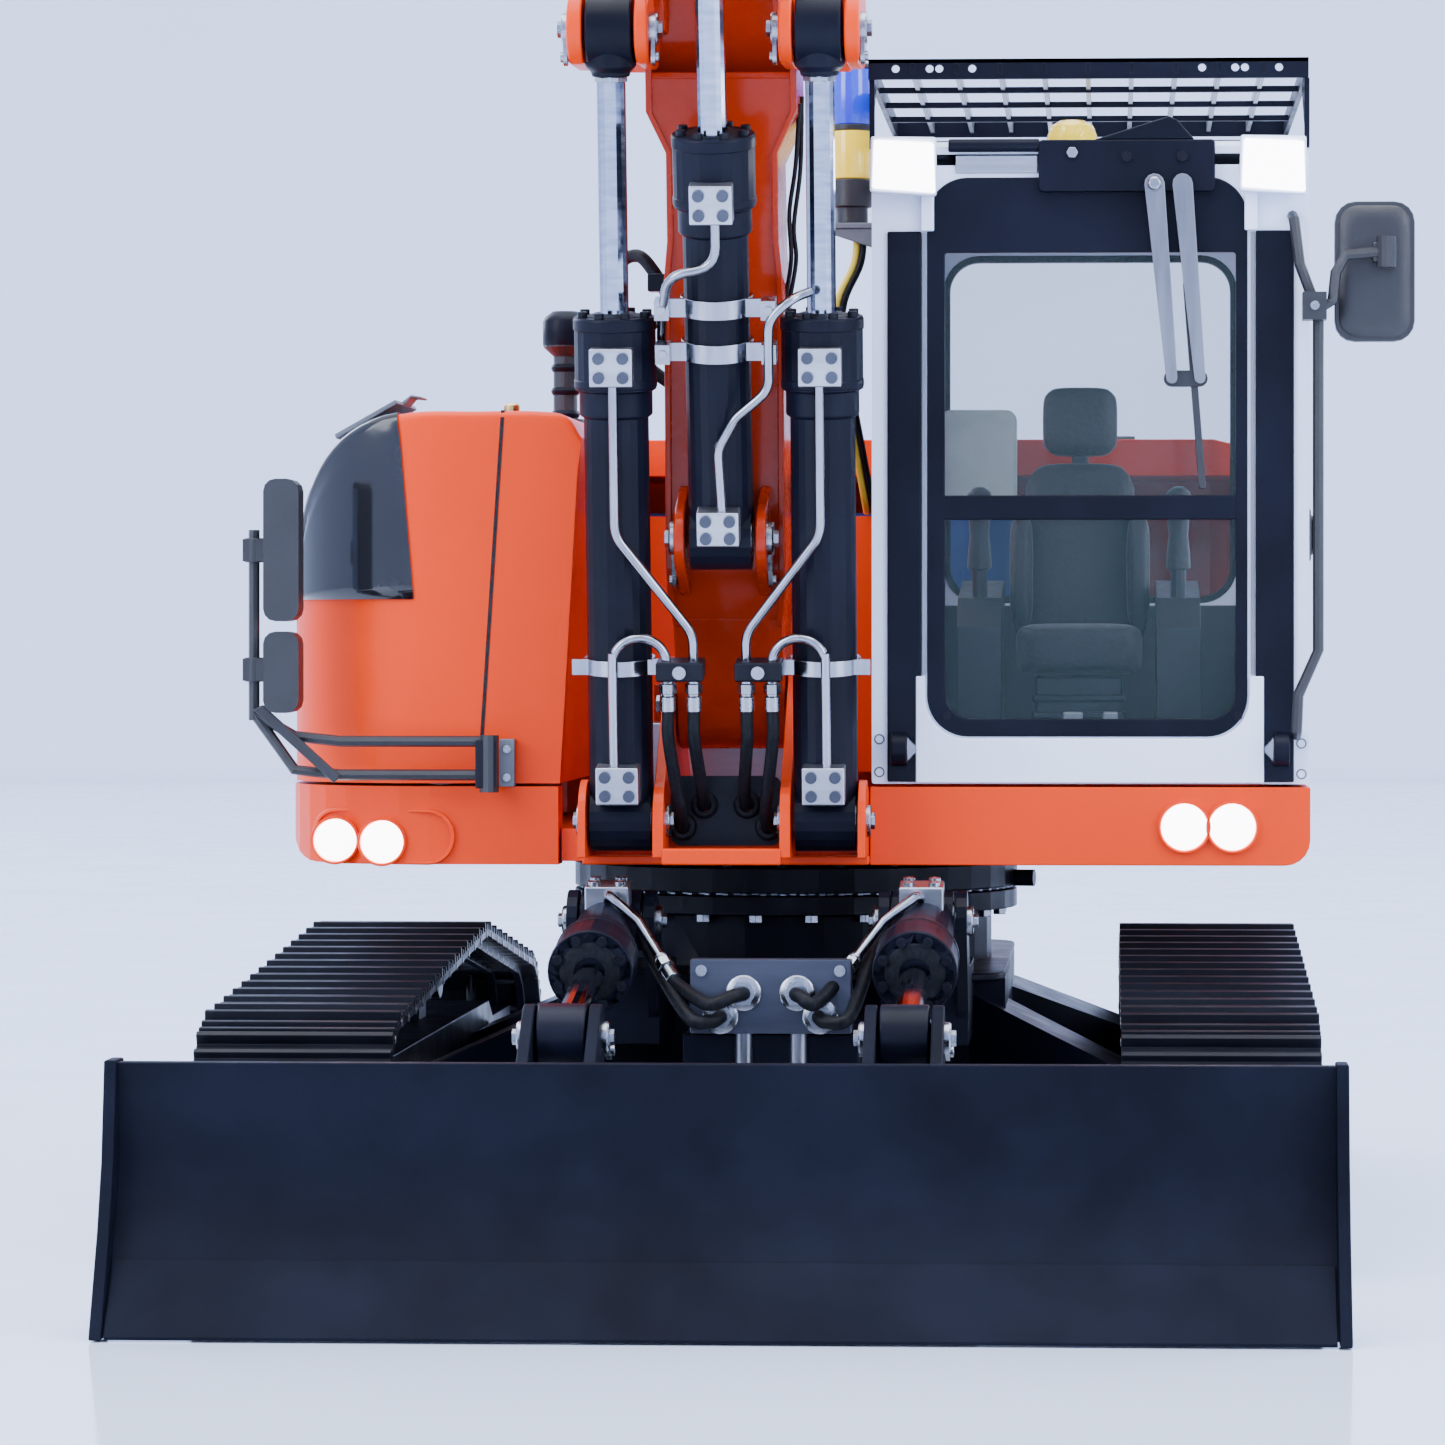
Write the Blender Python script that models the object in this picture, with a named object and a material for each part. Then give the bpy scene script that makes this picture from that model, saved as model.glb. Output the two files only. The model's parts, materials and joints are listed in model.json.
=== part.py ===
"""Radio-controlled tracked excavator with a three-piece hydraulic arm, one fourteenth of full size.

Dimensions are in millimetres in the machine's own frame: the slew axis is the Z axis, the ground is z = 0, the
machine looks along -Y and the cab is on the +X side. Side profiles are lists of (y, z) points. The root empty
moves the whole machine, so that the world origin is under the centre of its bounding box.
"""

import math

import bmesh
import bpy
from mathutils import Matrix, Vector

MM = 0.001
GAP = 0.4

# Overall layout.
BOX_CENTRE = (9.0, -148.7)
GROUND = 0.3
TRACK_X = 88.5
TRACK_WIDTH = 38.0
TRACK_BAND = 5.5
IDLER = (-117.0, 25.0)
IDLER_RADIUS = 25.0
SPROCKET = (115.0, 24.0)
SPROCKET_RADIUS = 24.0
CARRIER = (25.0, 48.0)
CARRIER_RADIUS = 12.0
SLEW_RADIUS = 47.5
DECK_LOW = 77.6
DECK_HIGH = 84.0
SKIRT_LOW = 77.0
SKIRT_HIGH = 92.4
FRONT_Y = -95.0
HOOD_LEFT = -98.0
HOOD_TOP = 166.6
HOOD_CORNER = 30.0
CAB_LOW = (20.5, -94.5, 93.0)
CAB_HIGH = (106.5, 40.0, 220.0)
CAB_WALL = 2.5
REAR_Y = 106.0

# Arm pins, as (y, z) in the arm's own plane.
BOOM_X = -8.0
BOOM_FOOT = (-75.0, 108.0)
LIFT_BASE = (-104.0, 86.0)
LIFT_ROD_PIN = (-129.0, 238.0)
LIFT_SPACING = 20.0
FOLD_PIN = (-122.0, 268.0)
FOLD_BASE = (-110.0, 141.0)
FOLD_ROD_PIN = (-148.0, 262.0)
STICK_PIN = (-252.0, 377.0)
STICK_BASE = (-146.0, 317.0)
STICK_ANGLE = 20.0
STICK_LENGTH = 150.0
STICK_LEVER = 26.0
STICK_LEVER_ANGLE = 120.0
ROCKER_OFFSET = 24.0
ROCKER_LENGTH = 20.0
ROCKER_ANGLE = 60.0

# Dozer blade pins.
BLADE_PIVOT = (-70.0, 22.0)
BLADE_BASE = (-95.0, 66.0)
BLADE_ROD_PIN = (-190.0, 50.0)
BLADE_CYLINDER_X = 30.7
BLADE_HALF_WIDTH = 109.0

# Hydraulic cylinders. Each barrel points slightly beside its rod's pin, so that the sideways play of the rod in
# the bore is shared over the stroke.
BARREL_RADIUS = 6.3
GLAND_RADIUS = 7.9
BORE_RADIUS = 5.8
ROD_RADIUS = 2.8
THIN_ROD_RADIUS = 2.5
GLAND_LENGTH = 14.0
EYE_WIDTH = 8.6

# Hinges of the small parts, as (x, y, z).
DOOR_HINGE = (107.0, -4.0, 150.0)
MIRROR_HINGE = (-54.5, -101.0, 97.0)
DOOR_MIRROR_HINGE = (121.2, -101.5, 197.0)
WIPER_PIVOT = (76.1, -98.0, 210.7)
WIPER_SPACING = 5.5
WIPER_REACH = (3.4, -38.1)
LID_HINGE = (0.0, 51.0, 163.0)

MATERIALS = {
    "orange_paint": ((0.78, 0.13, 0.02), 0.28, 0.0),
    "boom_paint": ((0.50, 0.05, 0.012), 0.22, 0.0),
    "white_paint": ((0.80, 0.82, 0.86), 0.35, 0.0),
    "black_paint": ((0.022, 0.024, 0.034), 0.40, 0.0),
    "black_steel": ((0.018, 0.019, 0.026), 0.42, 0.4),
    "chrome": ((0.80, 0.81, 0.83), 0.12, 1.0),
    "brushed_aluminium": ((0.70, 0.71, 0.74), 0.32, 1.0),
    "black_plastic": ((0.020, 0.020, 0.022), 0.50, 0.0),
    "window_glass": ((0.45, 0.75, 0.58), 0.05, 0.0),
    "lamp_glass": ((0.95, 0.96, 1.00), 0.10, 0.0),
    "seat_leather": ((0.025, 0.025, 0.028), 0.60, 0.0),
    "battery_wrap": ((0.05, 0.09, 0.30), 0.45, 0.0),
    "tank_steel": ((0.45, 0.46, 0.48), 0.35, 1.0),
}


# ---------------------------------------------------------------- bodies and their pivots


def at(x, point):
    """The (x, y, z) place of a (y, z) point of the arm's plane."""
    return (x, point[0], point[1])


def polar(centre, radius, degrees):
    """A point of the side view, at an angle from straight ahead (-Y) towards up (+Z)."""
    angle = math.radians(degrees)
    return (centre[0] - radius * math.cos(angle), centre[1] + radius * math.sin(angle))


BUCKET_PIN = polar(STICK_PIN, STICK_LENGTH, -STICK_ANGLE)
ROCKER_PIN = polar(STICK_PIN, STICK_LENGTH - ROCKER_OFFSET, -STICK_ANGLE)
ROCKER_TIP = polar(ROCKER_PIN, ROCKER_LENGTH, ROCKER_ANGLE - STICK_ANGLE)
LINK_TIP = polar(BUCKET_PIN, ROCKER_LENGTH, ROCKER_ANGLE - STICK_ANGLE)
STICK_ROD_PIN = polar(STICK_PIN, STICK_LEVER, STICK_LEVER_ANGLE)


def stick_point(along, above):
    """A (y, z) point given by its distance along the stick from its pivot, and above its centre line."""
    foot = polar(STICK_PIN, along, -STICK_ANGLE)
    return polar(foot, above, 90.0 - STICK_ANGLE)


BUCKET_BASE = stick_point(14.0, 24.0)

# body: (parent body, pivot)
BODIES = {
    "undercarriage": (None, (0.0, 0.0, 0.0)),
    "sprocket_left": ("undercarriage", at(TRACK_X, SPROCKET)),
    "sprocket_right": ("undercarriage", at(-TRACK_X, SPROCKET)),
    "idler_left": ("undercarriage", at(TRACK_X, IDLER)),
    "idler_right": ("undercarriage", at(-TRACK_X, IDLER)),
    "blade": ("undercarriage", at(0.0, BLADE_PIVOT)),
    "blade_barrels": ("undercarriage", at(0.0, BLADE_BASE)),
    "blade_rods": ("blade", at(0.0, BLADE_ROD_PIN)),
    "house": ("undercarriage", (0.0, 0.0, DECK_LOW)),
    "rear_lid": ("house", LID_HINGE),
    "mirror_bracket": ("house", MIRROR_HINGE),
    "cab_door": ("house", DOOR_HINGE),
    "door_mirror": ("house", DOOR_MIRROR_HINGE),
    "wiper_drive_arm": ("house", WIPER_PIVOT),
    "wiper_guide_arm": ("house", (WIPER_PIVOT[0] + WIPER_SPACING, WIPER_PIVOT[1], WIPER_PIVOT[2])),
    "wiper_blade": (
        "wiper_drive_arm",
        (WIPER_PIVOT[0] + WIPER_REACH[0], WIPER_PIVOT[1], WIPER_PIVOT[2] + WIPER_REACH[1]),
    ),
    "boom_lower": ("house", at(BOOM_X, BOOM_FOOT)),
    "lift_barrels": ("house", at(BOOM_X, LIFT_BASE)),
    "lift_rods": ("boom_lower", at(BOOM_X, LIFT_ROD_PIN)),
    "fold_barrel": ("boom_lower", at(BOOM_X, FOLD_BASE)),
    "boom_upper": ("boom_lower", at(BOOM_X, FOLD_PIN)),
    "fold_rod": ("boom_upper", at(BOOM_X, FOLD_ROD_PIN)),
    "stick_barrel": ("boom_upper", at(BOOM_X, STICK_BASE)),
    "stick": ("boom_upper", at(BOOM_X, STICK_PIN)),
    "stick_rod": ("stick", at(BOOM_X, STICK_ROD_PIN)),
    "bucket_barrel": ("stick", at(BOOM_X, BUCKET_BASE)),
    "rocker": ("stick", at(BOOM_X, ROCKER_PIN)),
    "bucket_rod": ("rocker", at(BOOM_X, ROCKER_TIP)),
    "bucket_link": ("rocker", at(BOOM_X, ROCKER_TIP)),
    "bucket": ("stick", at(BOOM_X, BUCKET_PIN)),
}


# ---------------------------------------------------------------- outlines


def arc(centre, radius, start, end, steps):
    """Points of an arc, counted in degrees from the first axis towards the second."""
    points = []
    for index in range(steps + 1):
        angle = math.radians(start + (end - start) * index / steps)
        points.append((centre[0] + radius * math.cos(angle), centre[1] + radius * math.sin(angle)))
    return points


def plan_corner(left, front, wide, deep, steps=8):
    """The rounded front corner on the machine's right, seen from above, from its side round to its front."""
    points = []
    for index in range(steps + 1):
        angle = math.radians(90.0 * index / steps)
        points.append((left + wide * (1.0 - math.cos(angle)), front + deep * (1.0 - math.sin(angle))))
    return points


def corner_cutter(front, radius, low, high):
    """The waste outside a rounded front corner on the machine's right."""
    waste = plan_corner(HOOD_LEFT, front, radius, radius)
    waste += [(HOOD_LEFT + radius, front - 2.0), (HOOD_LEFT - 2.0, front - 2.0), (HOOD_LEFT - 2.0, front + radius)]
    return prism(waste, "Z", low, high)


def belt(circles, steps):
    """The outline of a belt pulled round the outside of circles (a, b, radius), listed in order round the belt."""
    count = len(circles)
    turns = [circles[i - 1][0] * circles[i][1] - circles[i - 1][1] * circles[i][0] for i in range(count)]
    if sum(turns) < 0.0:
        circles = list(reversed(circles))
    leaving = []
    for index in range(count):
        a, b, radius = circles[index]
        next_a, next_b, next_radius = circles[(index + 1) % count]
        distance = math.hypot(next_a - a, next_b - b)
        heading = math.atan2(next_b - b, next_a - a)
        leaving.append(heading - math.acos((radius - next_radius) / distance))
    outline = []
    for index in range(count):
        a, b, radius = circles[index]
        start = leaving[index - 1]
        end = leaving[index]
        while end < start:
            end += math.tau
        outline += arc((a, b), radius, math.degrees(start), math.degrees(end), steps)
    return outline


def strap(first, first_radius, second, second_radius, steps=8):
    """A flat link's outline round two pins."""
    return belt([(*first, first_radius), (*second, second_radius)], steps)


def rounded_rectangle(low, high, radius, steps=4):
    """A rectangle's outline with all four corners rounded."""
    outline = []
    corners = (
        (high[0] - radius, high[1] - radius, 0.0),
        (low[0] + radius, high[1] - radius, 90.0),
        (low[0] + radius, low[1] + radius, 180.0),
        (high[0] - radius, low[1] + radius, 270.0),
    )
    for a, b, start in corners:
        outline += arc((a, b), radius, start, start + 90.0, steps)
    return outline


# ---------------------------------------------------------------- solids


def place(axis, first, second, depth):
    """The (x, y, z) of an outline's point, where the outline is extruded along the axis."""
    if axis == "X":
        return (depth, first, second)
    if axis == "Y":
        return (first, depth, second)
    return (first, second, depth)


def rings_to_mesh(rings, closed=False):
    """Joins rings of equal length into one solid. A closed one has no end caps."""
    mesh = bmesh.new()
    loops = [[mesh.verts.new(point) for point in ring] for ring in rings]
    pairs = list(zip(loops, loops[1:]))
    if closed:
        pairs.append((loops[-1], loops[0]))
    for first, second in pairs:
        for index in range(len(first)):
            after = (index + 1) % len(first)
            mesh.faces.new((first[index], first[after], second[after], second[index]))
    if not closed:
        mesh.faces.new(loops[0])
        mesh.faces.new(list(reversed(loops[-1])))
    bmesh.ops.recalc_face_normals(mesh, faces=mesh.faces)
    return mesh


def prism(outline, axis, low, high):
    """An outline extruded along an axis from low to high."""
    return rings_to_mesh([[place(axis, a, b, depth) for a, b in outline] for depth in (low, high)])


def band(outer, inner, axis, low, high):
    """A closed strip between two outlines of equal length, extruded along an axis."""
    rings = []
    for (outer_a, outer_b), (inner_a, inner_b) in zip(outer, inner):
        corners = ((outer_a, outer_b, low), (outer_a, outer_b, high), (inner_a, inner_b, high), (inner_a, inner_b, low))
        rings.append([place(axis, a, b, depth) for a, b, depth in corners])
    return rings_to_mesh(rings, closed=True)


def box(low, high):
    """A plain block between two corners."""
    outline = ((low[0], low[1]), (high[0], low[1]), (high[0], high[1]), (low[0], high[1]))
    return prism(outline, "Z", low[2], high[2])


def mirrored_box(side, low, high):
    """A block given for the +X side, on the side +1 or -1."""
    first, second = sorted((side * low[0], side * high[0]))
    return box((first, low[1], low[2]), (second, high[1], high[2]))


def turned(profile, origin, direction, sides=20):
    """A profile of (distance along, radius) points turned about a line. A radius of 0 closes an end in a point."""
    mesh = bmesh.new()
    turn = Vector((0.0, 0.0, 1.0)).rotation_difference(Vector(direction).normalized())
    rows = []
    for along, radius in profile:
        count = sides if radius > 0.0 else 1
        row = []
        for index in range(count):
            angle = math.tau * index / sides
            local = Vector((radius * math.cos(angle), radius * math.sin(angle), along))
            row.append(mesh.verts.new(turn @ local + Vector(origin)))
        rows.append(row)
    pairs = list(zip(rows, rows[1:]))
    if profile[0][1] > 0.0:
        pairs.append((rows[-1], rows[0]))
    for first, second in pairs:
        for index in range(sides):
            after = (index + 1) % sides
            corners = [first[index % len(first)], first[after % len(first)]]
            corners += [second[after % len(second)], second[index % len(second)]]
            distinct = list(dict.fromkeys(corners))
            if len(distinct) > 2:
                mesh.faces.new(distinct)
    bmesh.ops.recalc_face_normals(mesh, faces=mesh.faces)
    return mesh


def cylinder(origin, direction, radius, length, sides=20):
    """A plain round bar."""
    return turned([(0.0, 0.0), (0.0, radius), (length, radius), (length, 0.0)], origin, direction, sides)


def cross_pin(centre, radius, half_width, sides=20):
    """A round bar along X about a point (x, y, z)."""
    return cylinder((centre[0] - half_width, centre[1], centre[2]), (1.0, 0.0, 0.0), radius, 2.0 * half_width, sides)


def pipe(points, radius, sides=8):
    """A round bar along a bent line. Its section turns as little as it can from point to point."""
    places = [Vector(point) for point in points]
    heading = (places[1] - places[0]).normalized()
    across = heading.orthogonal().normalized()
    rings = []
    for index, point in enumerate(places):
        before = places[max(index - 1, 0)]
        after = places[min(index + 1, len(places) - 1)]
        new_heading = (after - before).normalized()
        across = heading.rotation_difference(new_heading) @ across
        heading = new_heading
        upright = heading.cross(across)
        ring = []
        for step in range(sides):
            angle = math.tau * step / sides
            ring.append(point + radius * (math.cos(angle) * across + math.sin(angle) * upright))
        rings.append(ring)
    return rings_to_mesh(rings)


def cells(xs, ys, zs, solid):
    """The union of the blocks of a grid for which solid(x, y, z) is true at the block's middle."""
    mesh = bmesh.new()
    corners = {}

    def corner(i, j, k):
        if (i, j, k) not in corners:
            corners[i, j, k] = mesh.verts.new((xs[i], ys[j], zs[k]))
        return corners[i, j, k]

    def filled(i, j, k):
        if not (0 <= i < len(xs) - 1 and 0 <= j < len(ys) - 1 and 0 <= k < len(zs) - 1):
            return False
        return solid((xs[i] + xs[i + 1]) / 2, (ys[j] + ys[j + 1]) / 2, (zs[k] + zs[k + 1]) / 2)

    sides = (
        ((-1, 0, 0), ((0, 0, 0), (0, 0, 1), (0, 1, 1), (0, 1, 0))),
        ((1, 0, 0), ((1, 0, 0), (1, 1, 0), (1, 1, 1), (1, 0, 1))),
        ((0, -1, 0), ((0, 0, 0), (1, 0, 0), (1, 0, 1), (0, 0, 1))),
        ((0, 1, 0), ((0, 1, 0), (0, 1, 1), (1, 1, 1), (1, 1, 0))),
        ((0, 0, -1), ((0, 0, 0), (0, 1, 0), (1, 1, 0), (1, 0, 0))),
        ((0, 0, 1), ((0, 0, 1), (1, 0, 1), (1, 1, 1), (0, 1, 1))),
    )
    for i in range(len(xs) - 1):
        for j in range(len(ys) - 1):
            for k in range(len(zs) - 1):
                if not filled(i, j, k):
                    continue
                for (di, dj, dk), quad in sides:
                    if not filled(i + di, j + dj, k + dk):
                        mesh.faces.new([corner(i + a, j + b, k + c) for a, b, c in quad])
    return mesh


# ---------------------------------------------------------------- objects


def clear_scene():
    for old in list(bpy.data.objects):
        bpy.data.objects.remove(old, do_unlink=True)


def make_materials():
    made = {}
    for name, (colour, roughness, metallic) in MATERIALS.items():
        material = bpy.data.materials.new(name)
        material.use_nodes = True
        shader = material.node_tree.nodes["Principled BSDF"]
        shader.inputs["Base Color"].default_value = (*colour, 1.0)
        shader.inputs["Roughness"].default_value = roughness
        shader.inputs["Metallic"].default_value = metallic
        made[name] = material
    return made


def make_empties():
    """One empty for each body, on its joint's axis, under the empty of the body that carries it."""
    root = bpy.data.objects.new("machine", None)
    root.location = (-BOX_CENTRE[0] * MM, -BOX_CENTRE[1] * MM, 0.0)
    bpy.context.scene.collection.objects.link(root)
    empties = {}
    for name, (parent, pivot) in BODIES.items():
        empty = bpy.data.objects.new("pivot_" + name, None)
        bpy.context.scene.collection.objects.link(empty)
        if parent is None:
            empty.parent = root
            start = Vector((0.0, 0.0, 0.0))
        else:
            empty.parent = empties[parent]
            start = Vector(BODIES[parent][1])
        empty.location = (Vector(pivot) - start) * MM
        empties[name] = empty
    return empties


def add_object(name, mesh, body, material, helper=False):
    """Puts a solid into the scene under its body's empty."""
    pivot = Vector(BODIES[body][1])
    for vertex in mesh.verts:
        vertex.co = (vertex.co - pivot) * MM
    data = bpy.data.meshes.new(name)
    mesh.to_mesh(data)
    mesh.free()
    data.materials.append(material)
    data.shade_smooth()
    data.set_sharp_from_angle(angle=math.radians(35.0))
    made = bpy.data.objects.new(name, data)
    made.parent = EMPTIES[body]
    if helper:
        made.hide_render = True
        made.display_type = "WIRE"
    bpy.context.scene.collection.objects.link(made)
    return made


def node(name, body, material, add, cut=()):
    """One sub-part: the union of the solids in add, less those in cut."""
    surface = PAINTS[material]
    base = add_object(name, add[0], body, surface)
    steps = [("UNION", extra) for extra in add[1:]] + [("DIFFERENCE", extra) for extra in cut]
    for index, (operation, extra) in enumerate(steps):
        helper = add_object(f"{name}_{operation.lower()}_{index}", extra, body, surface, helper=True)
        modifier = base.modifiers.new(helper.name, "BOOLEAN")
        modifier.operation = operation
        modifier.object = helper
    return base


# ---------------------------------------------------------------- undercarriage


def wedge(side, front, rear):
    """One arm of the X frame: from the centre block out to a track frame. front and rear are its Y places."""
    inner = ((front[0], 28.0), (rear[0], 28.0), (rear[0], 51.0), (front[0], 51.0))
    outer = ((front[1], 15.0), (rear[1], 15.0), (rear[1], 33.0), (front[1], 33.0))
    rings = []
    for x, section in ((34.0, inner), (TRACK_X - 13.0, outer)):
        rings.append([(side * x, y, z) for y, z in section])
    return rings_to_mesh(rings)


def make_car_body():
    add = [box((-46.0, -52.0, 28.0), (46.0, 52.0, 52.0))]
    add.append(cylinder((0.0, 0.0, 50.0), (0.0, 0.0, 1.0), 42.0, 14.0, 32))
    add.append(box((-14.0, -130.0, 34.0), (19.5, -50.0, 46.0)))
    add.append(box((-40.0, -61.0, 12.0), (40.0, -47.0, 34.0)))
    for side in (-1.0, 1.0):
        add.append(wedge(side, (-48.0, -84.0), (-8.0, -50.0)))
        add.append(wedge(side, (8.0, 50.0), (48.0, 84.0)))
        add.append(mirrored_box(side, (22.0, -88.0, 41.0), (39.4, -47.0, 56.0)))
        for low in (22.0, 37.2):
            ear = strap(BLADE_BASE, 6.0, (-84.0, 52.0), 7.0)
            first, second = sorted((side * low, side * (low + 2.2)))
            add.append(prism(ear, "X", first, second))
    node("car_body", "undercarriage", "black_paint", add)


def make_track_frame(side, name):
    beam = ((-92.0, 10.0), (92.0, 10.0), (92.0, 33.0), (82.0, 38.0), (-82.0, 38.0), (-92.0, 33.0))
    low, high = sorted((side * (TRACK_X - 12.5), side * (TRACK_X + 12.5)))
    add = [prism(beam, "X", low, high)]
    add.append(mirrored_box(side, (76.0, -126.0, 17.0), (79.6, -88.0, 33.0)))
    add.append(mirrored_box(side, (97.4, -126.0, 17.0), (101.0, -88.0, 33.0)))
    add.append(mirrored_box(side, (76.0, 88.0, 14.0), (79.6, 126.0, 34.0)))
    add.append(mirrored_box(side, (84.0, 19.0, 36.0), (93.0, 31.0, 49.0)))
    add.append(cross_pin(at(side * TRACK_X, CARRIER), 5.6, 8.5))
    node(name, "undercarriage", "black_paint", add)


def make_track(side, name):
    wheels = ((*SPROCKET, SPROCKET_RADIUS), (*CARRIER, CARRIER_RADIUS), (*IDLER, IDLER_RADIUS))
    outer = belt(wheels, 10)
    inner = belt([(y, z, radius - TRACK_BAND) for y, z, radius in wheels], 10)
    low, high = sorted((side * (TRACK_X - TRACK_WIDTH / 2), side * (TRACK_X + TRACK_WIDTH / 2)))
    node(name, "undercarriage", "black_steel", [band(outer, inner, "X", low, high)])


def make_sprocket(side, name):
    teeth = 12
    outline = []
    for tooth in range(teeth):
        middle = 360.0 * tooth / teeth
        for turn, radius in ((-10.0, 14.2), (-4.0, 17.8), (4.0, 17.8), (10.0, 14.2)):
            angle = math.radians(middle + turn)
            outline.append((SPROCKET[0] + radius * math.cos(angle), SPROCKET[1] + radius * math.sin(angle)))
    low, high = sorted((side * 84.0, side * 93.0))
    hub = [(-8.0, 0.0), (-8.0, 9.0), (9.0, 9.0), (10.5, 7.5), (10.5, 0.0)]
    add = [prism(outline, "X", low, high), turned(hub, at(side * TRACK_X, SPROCKET), (side, 0.0, 0.0))]
    node(name, name, "black_steel", add)


def make_idler(side, name):
    rim = [(-8.4, 0.0), (-8.4, 6.0), (-6.0, 7.0), (-6.0, 19.0), (-2.4, 19.0), (-2.0, 17.5)]
    rim += [(2.0, 17.5), (2.4, 19.0), (6.0, 19.0), (6.0, 7.0), (8.4, 6.0), (8.4, 0.0)]
    node(name, name, "black_steel", [turned(rim, at(side * TRACK_X, IDLER), (1.0, 0.0, 0.0), 28)])


def make_slew_rings():
    lower = [(0.0, 34.0), (0.0, SLEW_RADIUS), (4.0, SLEW_RADIUS), (4.0, 34.0)]
    node("slew_ring_lower", "undercarriage", "black_steel", [turned(lower, (0.0, 0.0, 64.4), (0, 0, 1), 40)])
    upper = [(0.0, 30.0), (0.0, SLEW_RADIUS), (5.2, SLEW_RADIUS), (5.2, 40.0), (8.2, 40.0), (8.2, 30.0)]
    node("slew_ring_upper", "house", "black_steel", [turned(upper, (0.0, 0.0, 69.0), (0, 0, 1), 40)])


def make_manifold():
    add = [box((-12.5, -132.0, 46.4), (18.3, -127.0, 60.5))]
    add.append(box((-8.0, -128.0, 46.4), (14.0, -116.0, 58.0)))
    node("blade_manifold", "undercarriage", "brushed_aluminium", add)


# ---------------------------------------------------------------- cylinders


def aim(base, rod_pin, turn):
    """The barrel's direction in the side view: towards the rod's pin, turned a little (degrees, nose up)."""
    heading = math.atan2(rod_pin[1] - base[1], -(rod_pin[0] - base[0])) + math.radians(turn)
    return (0.0, -math.cos(heading), math.sin(heading))


def make_barrel(name, body, x, base, direction, length, start=11.0, eye=6.0):
    """A cylinder's barrel with its base eye and gland; the bore is blind and open at the gland."""
    gland = length - GLAND_LENGTH
    profile = [(4.0, 0.0), (4.0, BARREL_RADIUS), (gland - 1.0, BARREL_RADIUS), (gland, GLAND_RADIUS)]
    profile += [(length, GLAND_RADIUS), (length, BORE_RADIUS), (start, BORE_RADIUS), (start, 0.0)]
    add = [turned(profile, at(x, base), direction, 24), cross_pin(at(x, base), eye, 5.9)]
    node(name, body, "black_paint", add)


def make_rod(name, body, x, pin, direction, length, radius=ROD_RADIUS, eye=6.4, width=EYE_WIDTH):
    """A cylinder's rod, from its eye back into the barrel."""
    back = tuple(-part for part in direction)
    add = [cylinder(at(x, pin), back, radius, length, 16), cross_pin(at(x, pin), eye, width / 2)]
    node(name, body, "chrome", add)


def make_cylinders():
    blade = aim(BLADE_BASE, BLADE_ROD_PIN, 0.44)
    lift = aim(LIFT_BASE, LIFT_ROD_PIN, 0.28)
    for side, name in ((1.0, "left"), (-1.0, "right")):
        x = side * BLADE_CYLINDER_X
        make_barrel("blade_barrel_" + name, "blade_barrels", x, BLADE_BASE, blade, 47.0, 9.0)
        make_rod("blade_rod_" + name, "blade_rods", x, BLADE_ROD_PIN, blade, 68.0, eye=5.8)
        x = BOOM_X + side * LIFT_SPACING
        make_barrel("lift_barrel_" + name, "lift_barrels", x, LIFT_BASE, lift, 99.0)
        make_rod("lift_rod_" + name, "lift_rods", x, LIFT_ROD_PIN, lift, 108.0)
    fold = aim(FOLD_BASE, FOLD_ROD_PIN, 1.07)
    make_barrel("fold_barrel", "fold_barrel", BOOM_X, FOLD_BASE, fold, 80.0)
    make_rod("fold_rod", "fold_rod", BOOM_X, FOLD_ROD_PIN, fold, 98.0)
    stick = aim(STICK_BASE, STICK_ROD_PIN, -1.17)
    make_barrel("stick_barrel", "stick_barrel", BOOM_X, STICK_BASE, stick, 86.0)
    make_rod("stick_rod", "stick_rod", BOOM_X, STICK_ROD_PIN, stick, 96.0, THIN_ROD_RADIUS, eye=5.6, width=7.6)
    bucket = aim(BUCKET_BASE, ROCKER_TIP, -1.07)
    make_barrel("bucket_barrel", "bucket_barrel", BOOM_X, BUCKET_BASE, bucket, 84.0)
    make_rod("bucket_rod", "bucket_rod", BOOM_X, ROCKER_TIP, bucket, 91.0, THIN_ROD_RADIUS, eye=5.2, width=7.6)


# ---------------------------------------------------------------- dozer blade


def make_blade():
    front = [(-215.0, 47.3), (-213.6, 30.7), (-216.4, 21.5), (-221.0, 13.3), (-230.0, GROUND)]
    rear = [(-226.0, GROUND), (-218.0, 12.0), (-213.2, 21.0), (-210.4, 30.7), (-211.6, 47.3)]
    inside = BLADE_HALF_WIDTH - 2.0
    add = [prism(front + rear, "X", -inside, inside)]
    plate = [(-216.0, 47.6), (-219.0, 30.0), (-223.0, 18.0), (-231.0, GROUND), (-224.0, GROUND), (-206.0, 22.0)]
    plate += [(-206.0, 40.0), (-209.0, 47.6)]
    for side in (-1.0, 1.0):
        low, high = sorted((side * (inside - 0.4), side * BLADE_HALF_WIDTH))
        add.append(prism(plate, "X", low, high))
        low, high = sorted((side * 20.5, side * 30.5))
        add.append(prism(strap(BLADE_PIVOT, 7.4, (-209.0, 22.0), 6.4), "X", low, high))
        for inner in (4.9, -7.1):
            low, high = sorted((side * (BLADE_CYLINDER_X + inner), side * (BLADE_CYLINDER_X + inner + 2.2)))
            add.append(prism(strap(BLADE_ROD_PIN, 6.2, (-209.5, 38.0), 8.0), "X", low, high))
    node("dozer_blade", "blade", "black_paint", add)


# ---------------------------------------------------------------- house


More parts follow.
